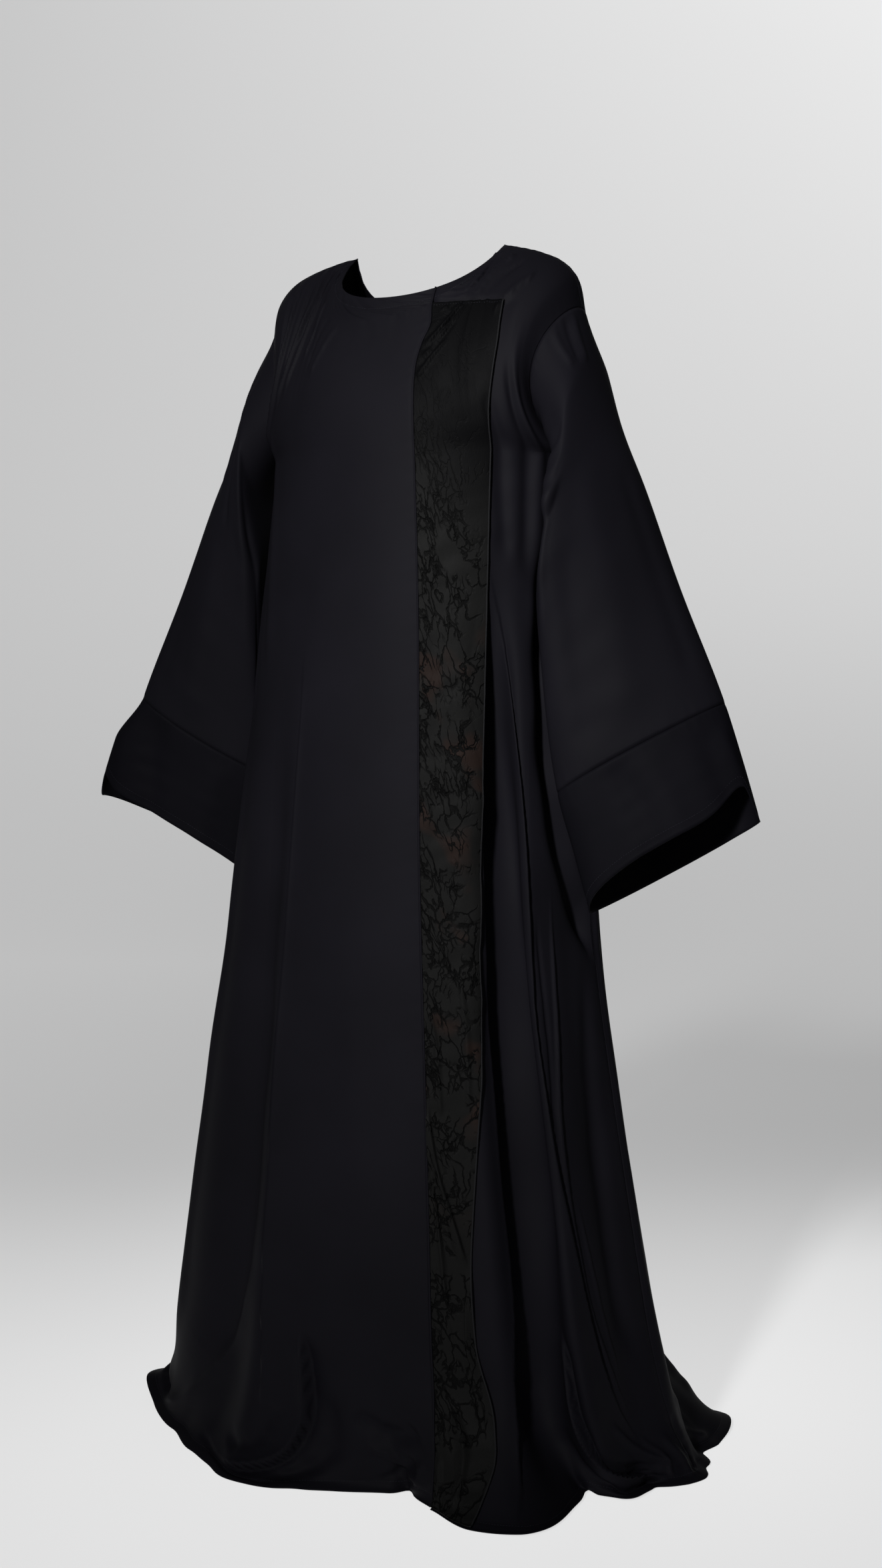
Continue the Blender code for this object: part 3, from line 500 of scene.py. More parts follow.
sleeveCreases = {
    "left": (
        (5.5, 2.6, 0, (0.05, 0.01), (0.06, 0.06), (0.07, 0.13)),
        (5, -2.2, 0, (0.08, 0.01), (0.09, 0.06), (0.10, 0.12)),
        (5.5, 2.4, 0, (0.12, 0.01), (0.13, 0.05), (0.13, 0.11)),
        (20, 9, 0, (0.33, 0.03), (0.34, 0.14), (0.33, 0.32)),
        (14, 2.6, 0, (0.30, 0.08), (0.36, 0.32), (0.40, 0.64)),
        (12, -2.8, 0, (0.34, 0.04), (0.42, 0.25), (0.46, 0.50)),
        (22, 2.6, 0, (0.18, 0.30), (0.20, 0.65), (0.24, 0.97)),
        (18, -2.2, 0, (0.28, 0.45), (0.30, 0.70), (0.32, 0.97)),
        (12, -1.6, 0, (0.07, 0.40), (0.08, 0.65), (0.09, 0.95)),
        (14, 3.2, 0, (0.62, 0.05), (0.68, 0.28), (0.72, 0.52)),
        (14, -2.6, 0, (0.74, 0.10), (0.75, 0.35), (0.78, 0.62)),
        (16, 2.6, 0, (0.84, 0.20), (0.86, 0.55), (0.86, 0.92)),
        (16, 2.4, 0, (0.66, 0.55), (0.66, 0.76), (0.68, 0.97)),
    ),
    "right": (
        (6, 2.2, 0, (0.07, 0.03), (0.10, 0.20), (0.14, 0.42)),
        (8, -2.4, 0, (0.13, 0.04), (0.17, 0.22), (0.22, 0.46)),
        (16, 3.2, 0, (0.26, 0.10), (0.32, 0.40), (0.35, 0.72)),
        (14, -3, 0, (0.34, 0.20), (0.39, 0.50), (0.41, 0.82)),
        (18, 2.6, 0, (0.20, 0.50), (0.21, 0.75), (0.23, 0.97)),
        (16, -2.2, 0, (0.11, 0.55), (0.12, 0.76), (0.13, 0.97)),
        (14, 3, 0, (0.62, 0.05), (0.68, 0.30), (0.70, 0.56)),
        (14, -2.8, 0, (0.76, 0.12), (0.77, 0.40), (0.79, 0.72)),
        (16, 2.4, 0, (0.87, 0.25), (0.88, 0.58), (0.88, 0.94)),
    ),
}

cuffCreases = {
    "left": (
        (12, -3, 0, (0.285, 1.00), (0.265, 1.14), (0.26, 1.32)),
        (12, 1.6, 0, (0.225, 1.01), (0.215, 1.16), (0.21, 1.32)),
        (18, 1.2, 0, (0.38, 1.02), (0.385, 1.16), (0.39, 1.32)),
        (12, 2.2, 0, (0.06, 1.03), (0.05, 1.14), (0.03, 1.32)),
        (14, -2.4, 0, (0.11, 1.03), (0.11, 1.15), (0.10, 1.32)),
        (14, 2.6, 0, (0.70, 1.02), (0.705, 1.16), (0.71, 1.32)),
        (14, -2.4, 0, (0.86, 1.02), (0.85, 1.16), (0.85, 1.32)),
    ),
    "right": (
        (14, 2.4, 0, (0.08, 1.00), (0.12, 1.15), (0.15, 1.32)),
        (15, -6, 0, (0.145, 1.00), (0.200, 1.12), (0.235, 1.32)),
        (14, 2.6, 0, (0.32, 1.02), (0.33, 1.16), (0.34, 1.32)),
        (14, -2.6, 0, (0.66, 1.02), (0.67, 1.16), (0.68, 1.32)),
        (14, 2.6, 0, (0.82, 1.02), (0.825, 1.16), (0.83, 1.32)),
    ),
}

# The band's own crumples run through shares of its width and distances down.
bandCreases = (
    (2, 4.2, 0, (0.62, -0.205), (0.42, -0.190), (0.20, -0.168), (0.03, -0.135)),
    (1.8, -3.2, 0, (0.70, -0.198), (0.48, -0.180), (0.26, -0.156), (0.06, -0.124)),
    (1.6, 3.5, 0, (0.52, -0.208), (0.34, -0.194), (0.14, -0.172)),
    (1.5, -2.9, 0, (0.46, -0.205), (0.28, -0.190), (0.10, -0.168)),
    (1.5, 3.2, 0, (0.34, -0.206), (0.22, -0.197), (0.08, -0.184)),
    (1.6, 3.5, 0, (0.10, -0.208), (0.20, -0.196), (0.26, -0.182)),
    (1.5, -2.6, 0, (0.30, -0.178), (0.22, -0.166), (0.20, -0.152)),
    (1.8, 3.8, 0, (0.36, -0.170), (0.20, -0.150), (0.05, -0.118)),
    (1.6, -2.9, 0, (0.30, -0.152), (0.16, -0.134), (0.04, -0.106)),
    (1.8, 3.2, 0, (0.24, -0.134), (0.12, -0.116), (0.03, -0.092)),
    (2.4, 1.4, 0, (0.86, -0.200), (0.66, -0.186), (0.50, -0.160)),
    (9, 0.8, 0, (0.60, 0.18), (0.66, 0.40), (0.72, 0.62)),
    (10, -0.8, 0, (0.32, 0.10), (0.26, 0.32), (0.28, 0.54)),
    (5, 9, 1, (0.06, 0.78), (0.24, 0.85), (0.58, 0.91), (0.95, 0.965)),
    (8, -5, 0, (0.02, 0.82), (0.20, 0.89), (0.55, 0.96), (0.90, 1.02)),
    (4, 4, 0, (0.05, 0.86), (0.22, 0.92), (0.40, 1.02)),
    (5, 4.4, -1, (0.84, 0.98), (0.76, 1.06), (0.86, 1.15)),
    (5, -3.4, 0, (0.20, 1.00), (0.42, 1.06), (0.60, 1.13)),
    (3, 2.8, 0, (0.28, 1.01), (0.52, 1.06), (0.72, 1.12)),
    (3.2, 2.6, 0, (0.10, 0.66), (0.22, 0.72), (0.28, 0.80)),
    (4, 2.8, 0, (0.62, 0.62), (0.74, 0.70), (0.80, 0.79)),
    (5, 4.4, 0, (0.30, 1.12), (0.50, 1.18), (0.55, 1.25)),
    (5, -4.4, 0, (0.10, 1.14), (0.28, 1.20), (0.34, 1.27)),
    (4, 3.8, 0, (0.06, 1.18), (0.14, 1.23), (0.12, 1.28)),
)


creaseShape = {
    "points": 28,        # along each path
    "fadeIn": 0.22,      # shares of the path's length
    "fadeOut": 0.18,
    "atEnds": 0.06,
    "uneven": 0.12,
    "dropReach": 0.020,  # how far a drop goes on below its edge, and how deep against the edge's height
    "dropDepth": 1.5,
    "farthest": 0.055,
}


def curvePoints(knots, count):  # a smooth curve through its knots
    knots = np.array(knots, float)
    run = np.concatenate([[0], np.cumsum(np.linalg.norm(np.diff(knots, axis=0), axis=1))])
    at = np.linspace(0, run[-1], count)
    return np.stack([smooth(at, run, knots[:, i]) for i in range(2)], -1)


def creaseHeight(places, creases, metres):  # metres turns a crease's own places into distances on the cloth
    height, shape = np.zeros(places.shape[:-1]), creaseShape
    for width, rise, drop, *knots in creases:
        width, rise = width / 1000, rise / 1000
        path = curvePoints(np.array(knots) * metres, shape["points"])
        reach = 4 * width + shape["farthest"] * abs(drop)
        low, high = path.min(0) - reach, path.max(0) + reach
        near = np.all((places > low) & (places < high), -1)
        if not near.any():
            continue
        spots = places[near]
        away = np.linalg.norm(spots[:, None] - path[None], axis=-1)
        closest = np.clip(away.argmin(1), 1, len(path) - 2)
        way = unit(path[closest + 1] - path[closest - 1])
        offset = spots - path[closest]
        along = (offset * way).sum(-1)
        side = way[:, 1] * offset[:, 0] - way[:, 0] * offset[:, 1]
        length = np.linalg.norm(path[1] - path[0])
        t = (closest + along / length) / (len(path) - 1)
        fade = ease(t / shape["fadeIn"] + shape["atEnds"])
        fade = fade * ease((1 - t) / shape["fadeOut"] + shape["atEnds"])
        uneven = 1 + shape["uneven"] * np.sin(9 * t + 40 * width) * np.sin(23 * t)
        if drop:
            past = side * drop
            over = (1 + np.tanh(past / (0.4 * width))) / 2
            fallen = shape["dropDepth"] * over * np.exp(-np.abs(past) / shape["dropReach"])
            section = (1 - over) * np.exp(-np.abs(past) / (2.5 * width)) - fallen
        else:
            section = bell(side, 0, width * uneven)
        height[near] += rise * uneven * fade * section * (np.abs(along) < 3 * width + 2 * length)
    return height


slack = {"height": 0.0010, "slant": 0.12, "across": 0.19, "down": 0.61}  # slow waves all over the cloth
bodyMetres = np.array([math.pi / 180 * 0.25, 1.0])  # a degree round the body, and a metre down


def bodyDetail(angle, down):
    turned = turnBetween(angle, 0)
    turned = np.where(np.abs(turnBetween(angle, 180)) < 90, turned % 360, turned)
    places = np.stack(np.broadcast_arrays(turned, down), -1) * bodyMetres
    wave = ripple(places[..., 0] + slack["slant"] * down, slack["across"], 0.4)
    wave = wave * ripple(down, slack["down"], 1.1) * ease((down + 0.05) / 0.3)
    return creaseHeight(places, bodyCreases, bodyMetres) + slack["height"] * wave


cloth = {"crepe": 0.0011, "cuff": 0.0014, "band": 0.0013}  # thickness
pucker = {"seamWidth": 0.0030, "start": 0.004, "reach": 0.010, "height": 0.9}  # beside every seam


def runLengths(points, axis):  # distance from the first line of a grid
    step = np.linalg.norm(np.diff(points, axis=axis), axis=-1)
    zero = np.zeros_like(np.take(step, [0], axis=axis))
    return np.concatenate([zero, np.cumsum(step, axis=axis)], axis=axis)


def seamPucker(distance, along, dip, wave, shift):  # a seam sinks a little, and the cloth beside it puckers
    sunk = -dip * bell(distance, 0, pucker["seamWidth"])
    beside = np.exp(-distance / pucker["reach"]) * ease(distance / pucker["start"])
    return sunk + pucker["height"] * dip * ripple(along, wave, shift) * beside


def addObject(name, data):
    made = bpy.data.objects.new(name, data)
    bpy.context.scene.collection.objects.link(made)
    return made


def gridFaces(rows, columns, ring, flip):  # in a ring the last column meets the first
    i, j = np.meshgrid(np.arange(rows - 1), np.arange(columns if ring else columns - 1), indexing="ij")
    k = (j + 1) % columns
    quads = np.stack([i * columns + j, (i + 1) * columns + j, (i + 1) * columns + k, i * columns + k], -1)
    return quads.reshape(-1, 4)[:, ::-1] if flip else quads.reshape(-1, 4)


def makeShell(name, points, material, thick, ring=False, flip=False):
    rows, columns = points.shape[:2]
    quads = gridFaces(rows, columns, ring, flip)
    mesh = bpy.data.meshes.new(name)
    mesh.vertices.add(rows * columns)
    mesh.vertices.foreach_set("co", points.reshape(-1))
    mesh.loops.add(quads.size)
    mesh.loops.foreach_set("vertex_index", quads.reshape(-1))
    mesh.polygons.add(len(quads))
    mesh.polygons.foreach_set("loop_start", np.arange(0, quads.size, 4))
    mesh.update(calc_edges=True)
    mesh.validate()
    across, middle = runLengths(points, 1), columns // 2
    across = across - across[:, middle][:, None]
    down = runLengths(points, 0)[:, middle][:, None] + 0 * across
    grain = np.stack([across, down], -1).reshape(-1, 2)
    layer = mesh.uv_layers.new(name="grain")
    corner = np.empty(len(mesh.loops), dtype=np.int32)
    mesh.loops.foreach_get("vertex_index", corner)
    layer.data.foreach_set("uv", grain[corner].reshape(-1))
    mesh.materials.append(material)
    mesh.shade_smooth()
    piece = addObject(name, mesh)
    wall = piece.modifiers.new("wall", "SOLIDIFY")
    wall.thickness = thick
    wall.offset = -1.0
    wall.use_rim = True
    return piece


class Sock:  # a socket that Python's arithmetic works on
    def __init__(self, nodes, socket):
        self.nodes, self.socket = nodes, socket

    def combine(self, other, operation, swap=False):
        a, b = (other, self) if swap else (self, other)
        return self.nodes.node("ShaderNodeMath", {"operation": operation}, {0: a, 1: b})[0]

    def __add__(self, other): return self.combine(other, "ADD")
    def __radd__(self, other): return self.combine(other, "ADD", True)
    def __sub__(self, other): return self.combine(other, "SUBTRACT")
    def __rsub__(self, other): return self.combine(other, "SUBTRACT", True)
    def __mul__(self, other): return self.combine(other, "MULTIPLY")
    def __rmul__(self, other): return self.combine(other, "MULTIPLY", True)
    def __pow__(self, other): return self.combine(other, "POWER")


class Nodes:  # a node tree, of a material or of Geometry Nodes
    def __init__(self, tree):
        self.tree = tree

    def node(self, kind, settings=None, inputs=None):
        made = self.tree.nodes.new(kind)
        for key, value in (settings or {}).items():
            setattr(made, key, value)
        self.plug(made, inputs or {})
        return [Sock(self, out) for out in made.outputs]

    def plug(self, made, inputs):
        for key, value in inputs.items():
            if isinstance(value, Sock):
                self.tree.links.new(value.socket, made.inputs[key])
            else:
                made.inputs[key].default_value = value


class Finish(Nodes):  # a material and its nodes
    def __init__(self, name):
        self.material = bpy.data.materials.new(name)
        self.material.use_nodes = True
        super().__init__(self.material.node_tree)
        self.shader = self.tree.nodes["Principled BSDF"]

    def grain(self, stretch=(1, 1, 1)):  # distances along and across the cloth
        uv = self.node("ShaderNodeUVMap", {"uv_map": "grain"})[0]
        return self.node("ShaderNodeMapping", {}, {"Vector": uv, "Scale": stretch})[0]

    def noise(self, vector, scale, detail=2.0, rough=0.5):
        return self.node("ShaderNodeTexNoise", {}, {"Vector": vector, "Scale": scale, "Detail": detail,
                                                   "Roughness": rough})[0]

    def vector(self, operation, inputs):
        return self.node("ShaderNodeVectorMath", {"operation": operation}, inputs)[0]

    def between(self, value, low, high):  # 0 below low, 1 above high
        return self.node("ShaderNodeMapRange", {"interpolation_type": "SMOOTHSTEP"},
                         {"Value": value, "From Min": low, "From Max": high})[0]

    def veins(self, vector, scale):  # distance from the edges of a net of cells
        return self.node("ShaderNodeTexVoronoi", {"feature": "DISTANCE_TO_EDGE"},
                         {"Vector": vector, "Scale": scale, "Randomness": 1.0})[0]

    def mix(self, factor, a, b):  # of two colours
        return self.node("ShaderNodeMix", {"data_type": "RGBA"}, {0: factor, 6: a, 7: b})[2]

    def bump(self, height, strength, distance):
        return self.node("ShaderNodeBump", {}, {
            "Height": height, "Strength": strength, "Distance": distance})[0]


weave = {
    "cloud": 5.0,       # noise scales, per metre
    "pebble": 1500.0,
    "slub": 900.0,
    "thread": 1300.0,
    "bump": (0.25, 0.0003),
}


def makeCrepe(name, look):
    finish = Finish(name)
    cloud = finish.noise(finish.grain(), weave["cloud"], 3.0)
    pebble = finish.noise(finish.grain((1.0, 0.6, 1.0)), weave["pebble"], 2.0, 0.6)
    slub = finish.noise(finish.grain((1.0, 0.05, 1.0)), weave["slub"], 1.0)
    tone = finish.between(cloud * 0.7 + pebble * 0.3, 0.3, 0.7)
    finish.plug(finish.shader, {
        "Base Color": finish.mix(tone, look["shade"], look["light"]),
        "Roughness": look["roughness"] + (cloud - 0.5) * 0.10,
        "Normal": finish.bump(pebble * 0.7 + slub * 0.3, *weave["bump"]),
        "Specular IOR Level": look["specular"],
    })
    return finish.material


def makeJacquard(name, look):  # a veined ground in two sizes of net, broken into clumps
    finish = Finish(name)
    base = finish.grain()
    across, down = finish.node("ShaderNodeSeparateXYZ", {}, {"Vector": base})[:2]
    bend = finish.node("ShaderNodeTexNoise", {}, {
        "Vector": base, "Scale": look["bendScale"], "Detail": 4.0})[1]
    bend = finish.vector("SUBTRACT", {0: bend, 1: (0.5, 0.5, 0.5)})
    bend = finish.vector("SCALE", {0: bend, "Scale": look["bend"]})
    bent = finish.vector("ADD", {0: base, 1: bend})
    tall = finish.node("ShaderNodeMapping", {}, {
        "Vector": bent, "Scale": (1.0, look["tall"], 1.0), "Rotation": (0, 0, look["lean"])})[0]
    lower = finish.between(down, *look["plainTop"])
    toSeam = across * look["toSeam"]
    relief = 0
    for scale, line, cloudScale, clump, strength in look["nets"]:
        lines = 1 - finish.between(finish.veins(tall, scale), *line)
        clumps = finish.between(finish.noise(base, cloudScale, 2.0) - toSeam, *clump)
        relief = relief + lines * clumps * strength
    relief = relief * (lower * 0.85 + 0.10)
    thread = finish.noise(finish.grain((1.0, 0.15, 1.0)), weave["thread"], 2.0)
    cloud = finish.noise(base, look["cloud"], 3.0)
    warmth = finish.between(finish.noise(base, look["warmScale"], 2.0), *look["warmPatches"])
    warmth = warmth * finish.between(down, *look["warmFrom"]) * (1 - finish.between(down, *look["warmTo"]))
    ground = finish.mix(warmth * 0.8, finish.mix(lower, look["top"], look["shade"]), look["warm"])
    height = cloud * (lower * 0.8 + 0.1) - relief * 0.7 + thread * 0.08
    finish.plug(finish.shader, {
        "Base Color": finish.mix(finish.between(relief, 0.0, 0.8), ground, look["vein"]),
        "Roughness": look["roughness"] + (cloud - 0.5) * 0.16 + (thread - 0.5) * 0.10,
        "Normal": finish.bump(height, *look["bump"]),
        "Specular IOR Level": look["specular"],
    })
    return finish.material


def makePlain(name, colour, roughness, bumpScale=0.0):
    finish = Finish(name)
    finish.plug(finish.shader, {
        "Base Color": (*colour, 1), "Roughness": roughness, "Specular IOR Level": 0.03})
    if bumpScale:
        grit = finish.noise(finish.node("ShaderNodeTexCoord")[3], bumpScale, 2.0)
        finish.plug(finish.shader, {"Normal": finish.bump(grit, 0.3, 0.0003)})
    return finish.material


crepe = makeCrepe("blackCrepe", {
    "shade": (0.0035, 0.0033, 0.0045, 1), "light": (0.0048, 0.0045, 0.0063, 1),
    "roughness": 0.61, "specular": 0.027})
cuffShadeCrepe = makeCrepe("cuffPaintedShade", {  # painted shade: the cuffs' doubled cloth is the same crepe, given a darker colour so that it looks shaded
    "shade": (0.0025, 0.0024, 0.0033, 1), "light": (0.0035, 0.0033, 0.0047, 1),
    "roughness": 0.64, "specular": 0.020})
jacquard = makeJacquard("veinJacquard", {
    "top": (0.0015, 0.0015, 0.0017, 1), "shade": (0.0052, 0.0052, 0.0051, 1),
    "warm": (0.0105, 0.0066, 0.0055, 1), "vein": (0.0019, 0.0019, 0.0019, 1),
    "roughness": 0.54, "specular": 0.016, "bump": (0.65, 0.0028),
    "bendScale": 24.0, "bend": 0.05, "tall": 0.46, "lean": 0.40, "cloud": 26.0,
    "nets": (  # cells per metre, edges of a line, the clumps' scale and edges, and strength
        (50.0, (0.015, 0.065), 17.0, (0.42, 0.54), 1.0),
        (100.0, (0.02, 0.095), 26.0, (0.48, 0.58), 0.9)),
    "toSeam": 1.6,             # the clumps crowd towards the seam
    "plainTop": (0.14, 0.34),  # distances down the band
    "warmScale": 14.0, "warmPatches": (0.54, 0.66), "warmFrom": (0.35, 0.50), "warmTo": (0.95, 1.15)})
piped = makePlain("pipedEdge", (0.0080, 0.0080, 0.0086), 0.60, 900.0)
thread = makePlain("blackThread", (0.014, 0.014, 0.018), 0.45)
print("finishes made")


panels = {
    "rows": 300,
    "sideColumns": 64,       # from a side seam to the neck point, on the right front and the back
    "rightColumns": 98,      # from the right neck point to the band's seam
    "neckColumns": 30,       # across the back of the neck
    "leftNeckColumns": 14,   # from the band's seam to the left neck point
    "leftColumns": 148,      # from the band's seam to the left side seam
    "behindBand": 14,        # columns of the left front that the band covers
    "bandRow": 26,           # the row that follows the band's top edge
    "riseRows": 78,          # rows above the underarm
    "seamStep": 0.00003,     # how far a seam's two edges stand back
    "seamDip": 0.0005,
    "neckStitch": 0.015,     # its distance from the edge
    "neckDent": 0.0005,
    "neckPucker": 0.0020,
    "hemStitch": 0.014,
    "hemDent": 0.0006,
    "topClear": 0.006,       # how fast the left front drops behind the band's top
}


def bodyRows(tops):
    above = np.arange(panels["bandRow"])[:, None] / panels["bandRow"]
    count = panels["riseRows"] - panels["bandRow"]
    below = np.arange(count)[:, None] / count
    steps = np.linspace(0, 1, panels["rows"] - panels["riseRows"])
    fall = form["hemDown"] * (steps + 0.05 * np.sin(math.pi * steps) * steps)  # closer together at the hem
    fall = np.repeat(fall[:, None], len(tops), 1)
    return np.concatenate([(tops + form["rise"]) * above - form["rise"], tops * (1 - below), fall])


def plainTops(columns):
    return np.full(columns, -form["rise"] * (1 - panels["bandRow"] / panels["riseRows"]))


def bandAngle(share, down):
    inner = edgeAngle("inner", down)
    return inner + (edgeAngle("outer", down) - inner) * share


def topOfBand(share):
    shares, downs = np.meshgrid(np.linspace(0, 1, 7), np.linspace(-form["rise"], 0, 97))
    depth = -bodyPoint(bandAngle(shares, downs), downs)[..., 2]
    tops = [np.interp(-form["bandTop"], depth[:, i], downs[:, i]) for i in range(7)]
    return np.interp(share, shares[0], tops)


def columnTops(share, nearness):
    plain = plainTops(len(share))
    return plain + (topOfBand(share) - plain) * nearness


def spread(start, end, cells):
    share = np.arange(cells + 1) / cells
    start, end = np.asarray(start, float)[..., None], np.asarray(end, float)[..., None]
    return start + (end - start) * share


neckAngle = 90 - 180 * form["shoulderShare"]


def rightGrid():
    column = np.arange(panels["sideColumns"] + panels["rightColumns"] + 1)
    nearness = ease((column - panels["sideColumns"]) / panels["rightColumns"])
    downs = bodyRows(columnTops(np.zeros(len(column)), nearness))
    level = np.zeros(len(downs))
    side = spread(level - 90, level - neckAngle, panels["sideColumns"])
    chest = spread(level - neckAngle, edgeAngle("inner", downs[:, -1]), panels["rightColumns"])
    return np.concatenate([side, chest[:, 1:]], 1), downs


def leftGrid():
    column = np.arange(panels["leftColumns"] + 1)
    beyond = np.clip((column - panels["behindBand"]) / (panels["leftColumns"] - panels["behindBand"]), 0, 1)
    share = np.clip(column / panels["behindBand"], 0, 1)
    downs = bodyRows(columnTops(share, 1 - ease(beyond)))
    atBand = bandAngle(share, downs)
    atBand = atBand + (90 - atBand) * beyond
    seam = edgeAngle("inner", downs)
    toNeck = seam + (neckAngle - seam) * np.clip(column / panels["leftNeckColumns"], 0, 1)
    side = panels["leftColumns"] - panels["leftNeckColumns"]
    fromNeck = (90 - neckAngle) * np.clip((column - panels["leftNeckColumns"]) / side, 0, 1)
    lift = np.clip(1 - np.arange(len(downs)) / panels["bandRow"], 0, 1)[:, None]
    return atBand + (toNeck + fromNeck - atBand) * lift, downs


def backGrid():
    columns = 2 * panels["sideColumns"] + panels["neckColumns"] + 1
    downs = bodyRows(plainTops(columns))
    level = np.zeros(len(downs))
    left = spread(level + 90, level + 180 - neckAngle, panels["sideColumns"])
    middle = spread(level + 180 - neckAngle, level + 180 + neckAngle, panels["neckColumns"])
    right = spread(level + 180 + neckAngle, level + 270, panels["sideColumns"])
    angles = np.concatenate([left, middle[:, 1:], right[:, 1:]], 1)
    angles[:, 0] += 0.001
    angles[:, -1] -= 0.001
    return angles, downs


def leftFrontDepth(angle, down):
    beyond = edgeAngle("outer", down)
    height = bodyPoint(angle, down)[..., 2]
    belowTop = ease((form["bandTop"] + panels["topClear"] - height) / panels["topClear"])
    return form["bandBehind"] * belowTop * (1 - ease((angle - beyond) / form["bandSwing"]))


def stepIn(points, edge, inside):
    points[edge] += unit(points[inside] - points[edge]) * panels["seamStep"]


def neckPucker(fromTop, fromLeft):
    slant = fromLeft + 0.7 * fromTop
    close = ripple(slant, 0.013, 0.2) * (0.6 + 0.5 * ripple(slant, 0.085, 1.0))
    close = close * bell(fromTop, panels["neckStitch"] + 0.006, 0.009)
    return close + 0.4 * ripple(slant, 0.031, 2.0) * np.exp(-fromTop / 0.030) * ease(fromTop / 0.004)


def panelPoints(angles, downs, behind=None):
    base = bodyPoint(angles, downs)
    normal = bodyFacing(angles, downs)
    fromLeft, fromTop = runLengths(base, 1), runLengths(base, 0)
    fromSide = np.minimum(fromLeft, fromLeft[:, -1:] - fromLeft)
    atSide = ease(fromSide / 0.012)
    onNeck = np.abs(90 - np.abs(turnBetween(angles, 0))) / 180 > form["shoulderShare"]
    lift = bodyDetail(angles, downs) * ease(fromSide / 0.02 + 0.3)
    lift += seamPucker(fromSide, fromTop, panels["seamDip"], 0.021, 0.7) * ease(fromSide / 0.003 + 0.2)
    neck = panels["neckPucker"] * neckPucker(fromTop, fromLeft)
    neck -= panels["neckDent"] * bell(fromTop, panels["neckStitch"], 0.0022)
    lift += np.where(onNeck, neck, seamPucker(fromTop, fromLeft, panels["seamDip"], 0.019, 0.3)) * atSide
    lift -= panels["hemDent"] * bell(fromTop[-1:] - fromTop, panels["hemStitch"], 0.0035) * atSide
    sunk = 0 if behind is None else behind(angles, downs)
    points = base + normal * (lift - sunk)[..., None]
    points[..., 2] = np.maximum(points[..., 2], floorHeight(angles) - sunk)
    stepIn(points, np.s_[:, 0], np.s_[:, 1])
    stepIn(points, np.s_[:, -1], np.s_[:, -2])
    return points, normal


rightPoints, rightFacing = panelPoints(*rightGrid())
leftPoints, _ = panelPoints(*leftGrid(), leftFrontDepth)
backPoints, _ = panelPoints(*backGrid())
frontRight, frontLeft, back = [makeShell(name, points, crepe, cloth["crepe"]) for name, points in (
    ("rightFront", rightPoints), ("leftFront", leftPoints), ("backPanel", backPoints))]
print("body panels made")


band = {
    "rows": 600, "columns": 60,
    "width": 0.075,
    "lift": 0.0012,       # of the free edge, over the seam's
    "above": 0.0003,
    "overFloor": 0.0008,
    "lowest": 0.0010,     # how far its crumples may sink
    "gather": 0.0006,     # heights of its ripples: at the seam, down it, along the free edge, and at the top
    "wavy": 0.0005,
    "curl": 0.0022,
    "topPucker": 0.0005,
    "cord": 0.0011,       # radii
    "piping": 0.0013,
    "sunkCord": 0.35,     # of a radius, between a cord's middle and the cloth's edge
    "cordFloor": 0.0005,
}


def bandPoints():
    share = np.arange(band["columns"] + 1) / band["columns"]
    top = topOfBand(share)
    step = np.linspace(0, 1, band["rows"])[:, None]
    step = step * (0.5 + 0.5 * step)  # closer together at the crumpled top
    downs = top + (form["hemDown"] - top) * step
    share = share + 0 * downs
    angles = bandAngle(share, downs)
    base = bodyPoint(angles, downs)
    normal = bodyFacing(angles, downs)
    across, fromTop = runLengths(base, 1), runLengths(base, 0)
    metres = np.array([band["width"], 1.0])
    own = creaseHeight(np.stack([share, downs], -1) * metres, bandCreases, metres)
    gather = ripple(across + downs * 0.4, 0.009, 0.4) * bell(across, 0, 0.022) * bell(downs, -0.15, 0.045)
    own += band["gather"] * gather
    own += band["wavy"] * ripple(downs + 0.3 * across, 0.055, 0.9) * ease(downs / 0.4 + 0.4)
    own += band["curl"] * ease((share - 0.75) / 0.25) * ripple(downs, 0.20, 2.2) * ease((downs - 0.1) / 0.5)
    own += np.clip(bodyDetail(angles, downs), -0.001, 0.003)
    own = np.maximum(own * ease(fromTop / 0.012 + 0.1), -band["lowest"])
    own += band["topPucker"] * ripple(across, 0.012, 0.1) * bell(fromTop, 0.004, 0.004)
    points = base + normal * (band["lift"] * ease(share) + band["above"] + own)[..., None]
    points[..., 2] = np.maximum(points[..., 2], floorHeight(angles) + band["overFloor"])
    stepIn(points, np.s_[:, 0], np.s_[:, 1])
    return points, normal


strip, stripFacing = bandPoints()
frontBand = makeShell("frontBandCloth", strip, jacquard, cloth["band"])


def makeCord(name, path, normal, radius, material, sides=8):  # a round cord along a row of points
    path[:, 2] = np.maximum(path[:, 2], form["floor"] + radius + band["cordFloor"])
    way = unit(np.gradient(path, axis=0))
    out = unit(normal - (normal * way).sum(-1, keepdims=True) * way)
    across = np.cross(way, out)
    turn = np.arange(sides) / sides * 2 * math.pi
    swell = radius * (1 + 0.06 * ripple(runLengths(path, 0), 0.017, 0.5))[:, None, None]
    ring = out[:, None] * np.cos(turn)[None, :, None] + across[:, None] * np.sin(turn)[None, :, None]
    points = path[:, None] + ring * swell
    caps = [list(range(sides))[::-1], list(range((len(path) - 1) * sides, len(path) * sides))]
    mesh = bpy.data.meshes.new(name)
    faces = gridFaces(len(path), sides, True, True).tolist() + caps
    mesh.from_pydata(points.reshape(-1, 3).tolist(), [], faces)
    mesh.materials.append(material)
    mesh.shade_smooth()
    return addObject(name, mesh)


outward, inset = rightFacing[:, -1], band["piping"] * band["sunkCord"]
seamPiping = makeCord("seamPiping", rightPoints[:, -1] + outward * inset, outward, band["piping"], crepe)
outward, inset = stripFacing[:, -1], band["cord"] * band["sunkCord"]
bandCord = makeCord("bandCord", strip[:, -1] - outward * inset, outward, band["cord"], piped)
print("band made")


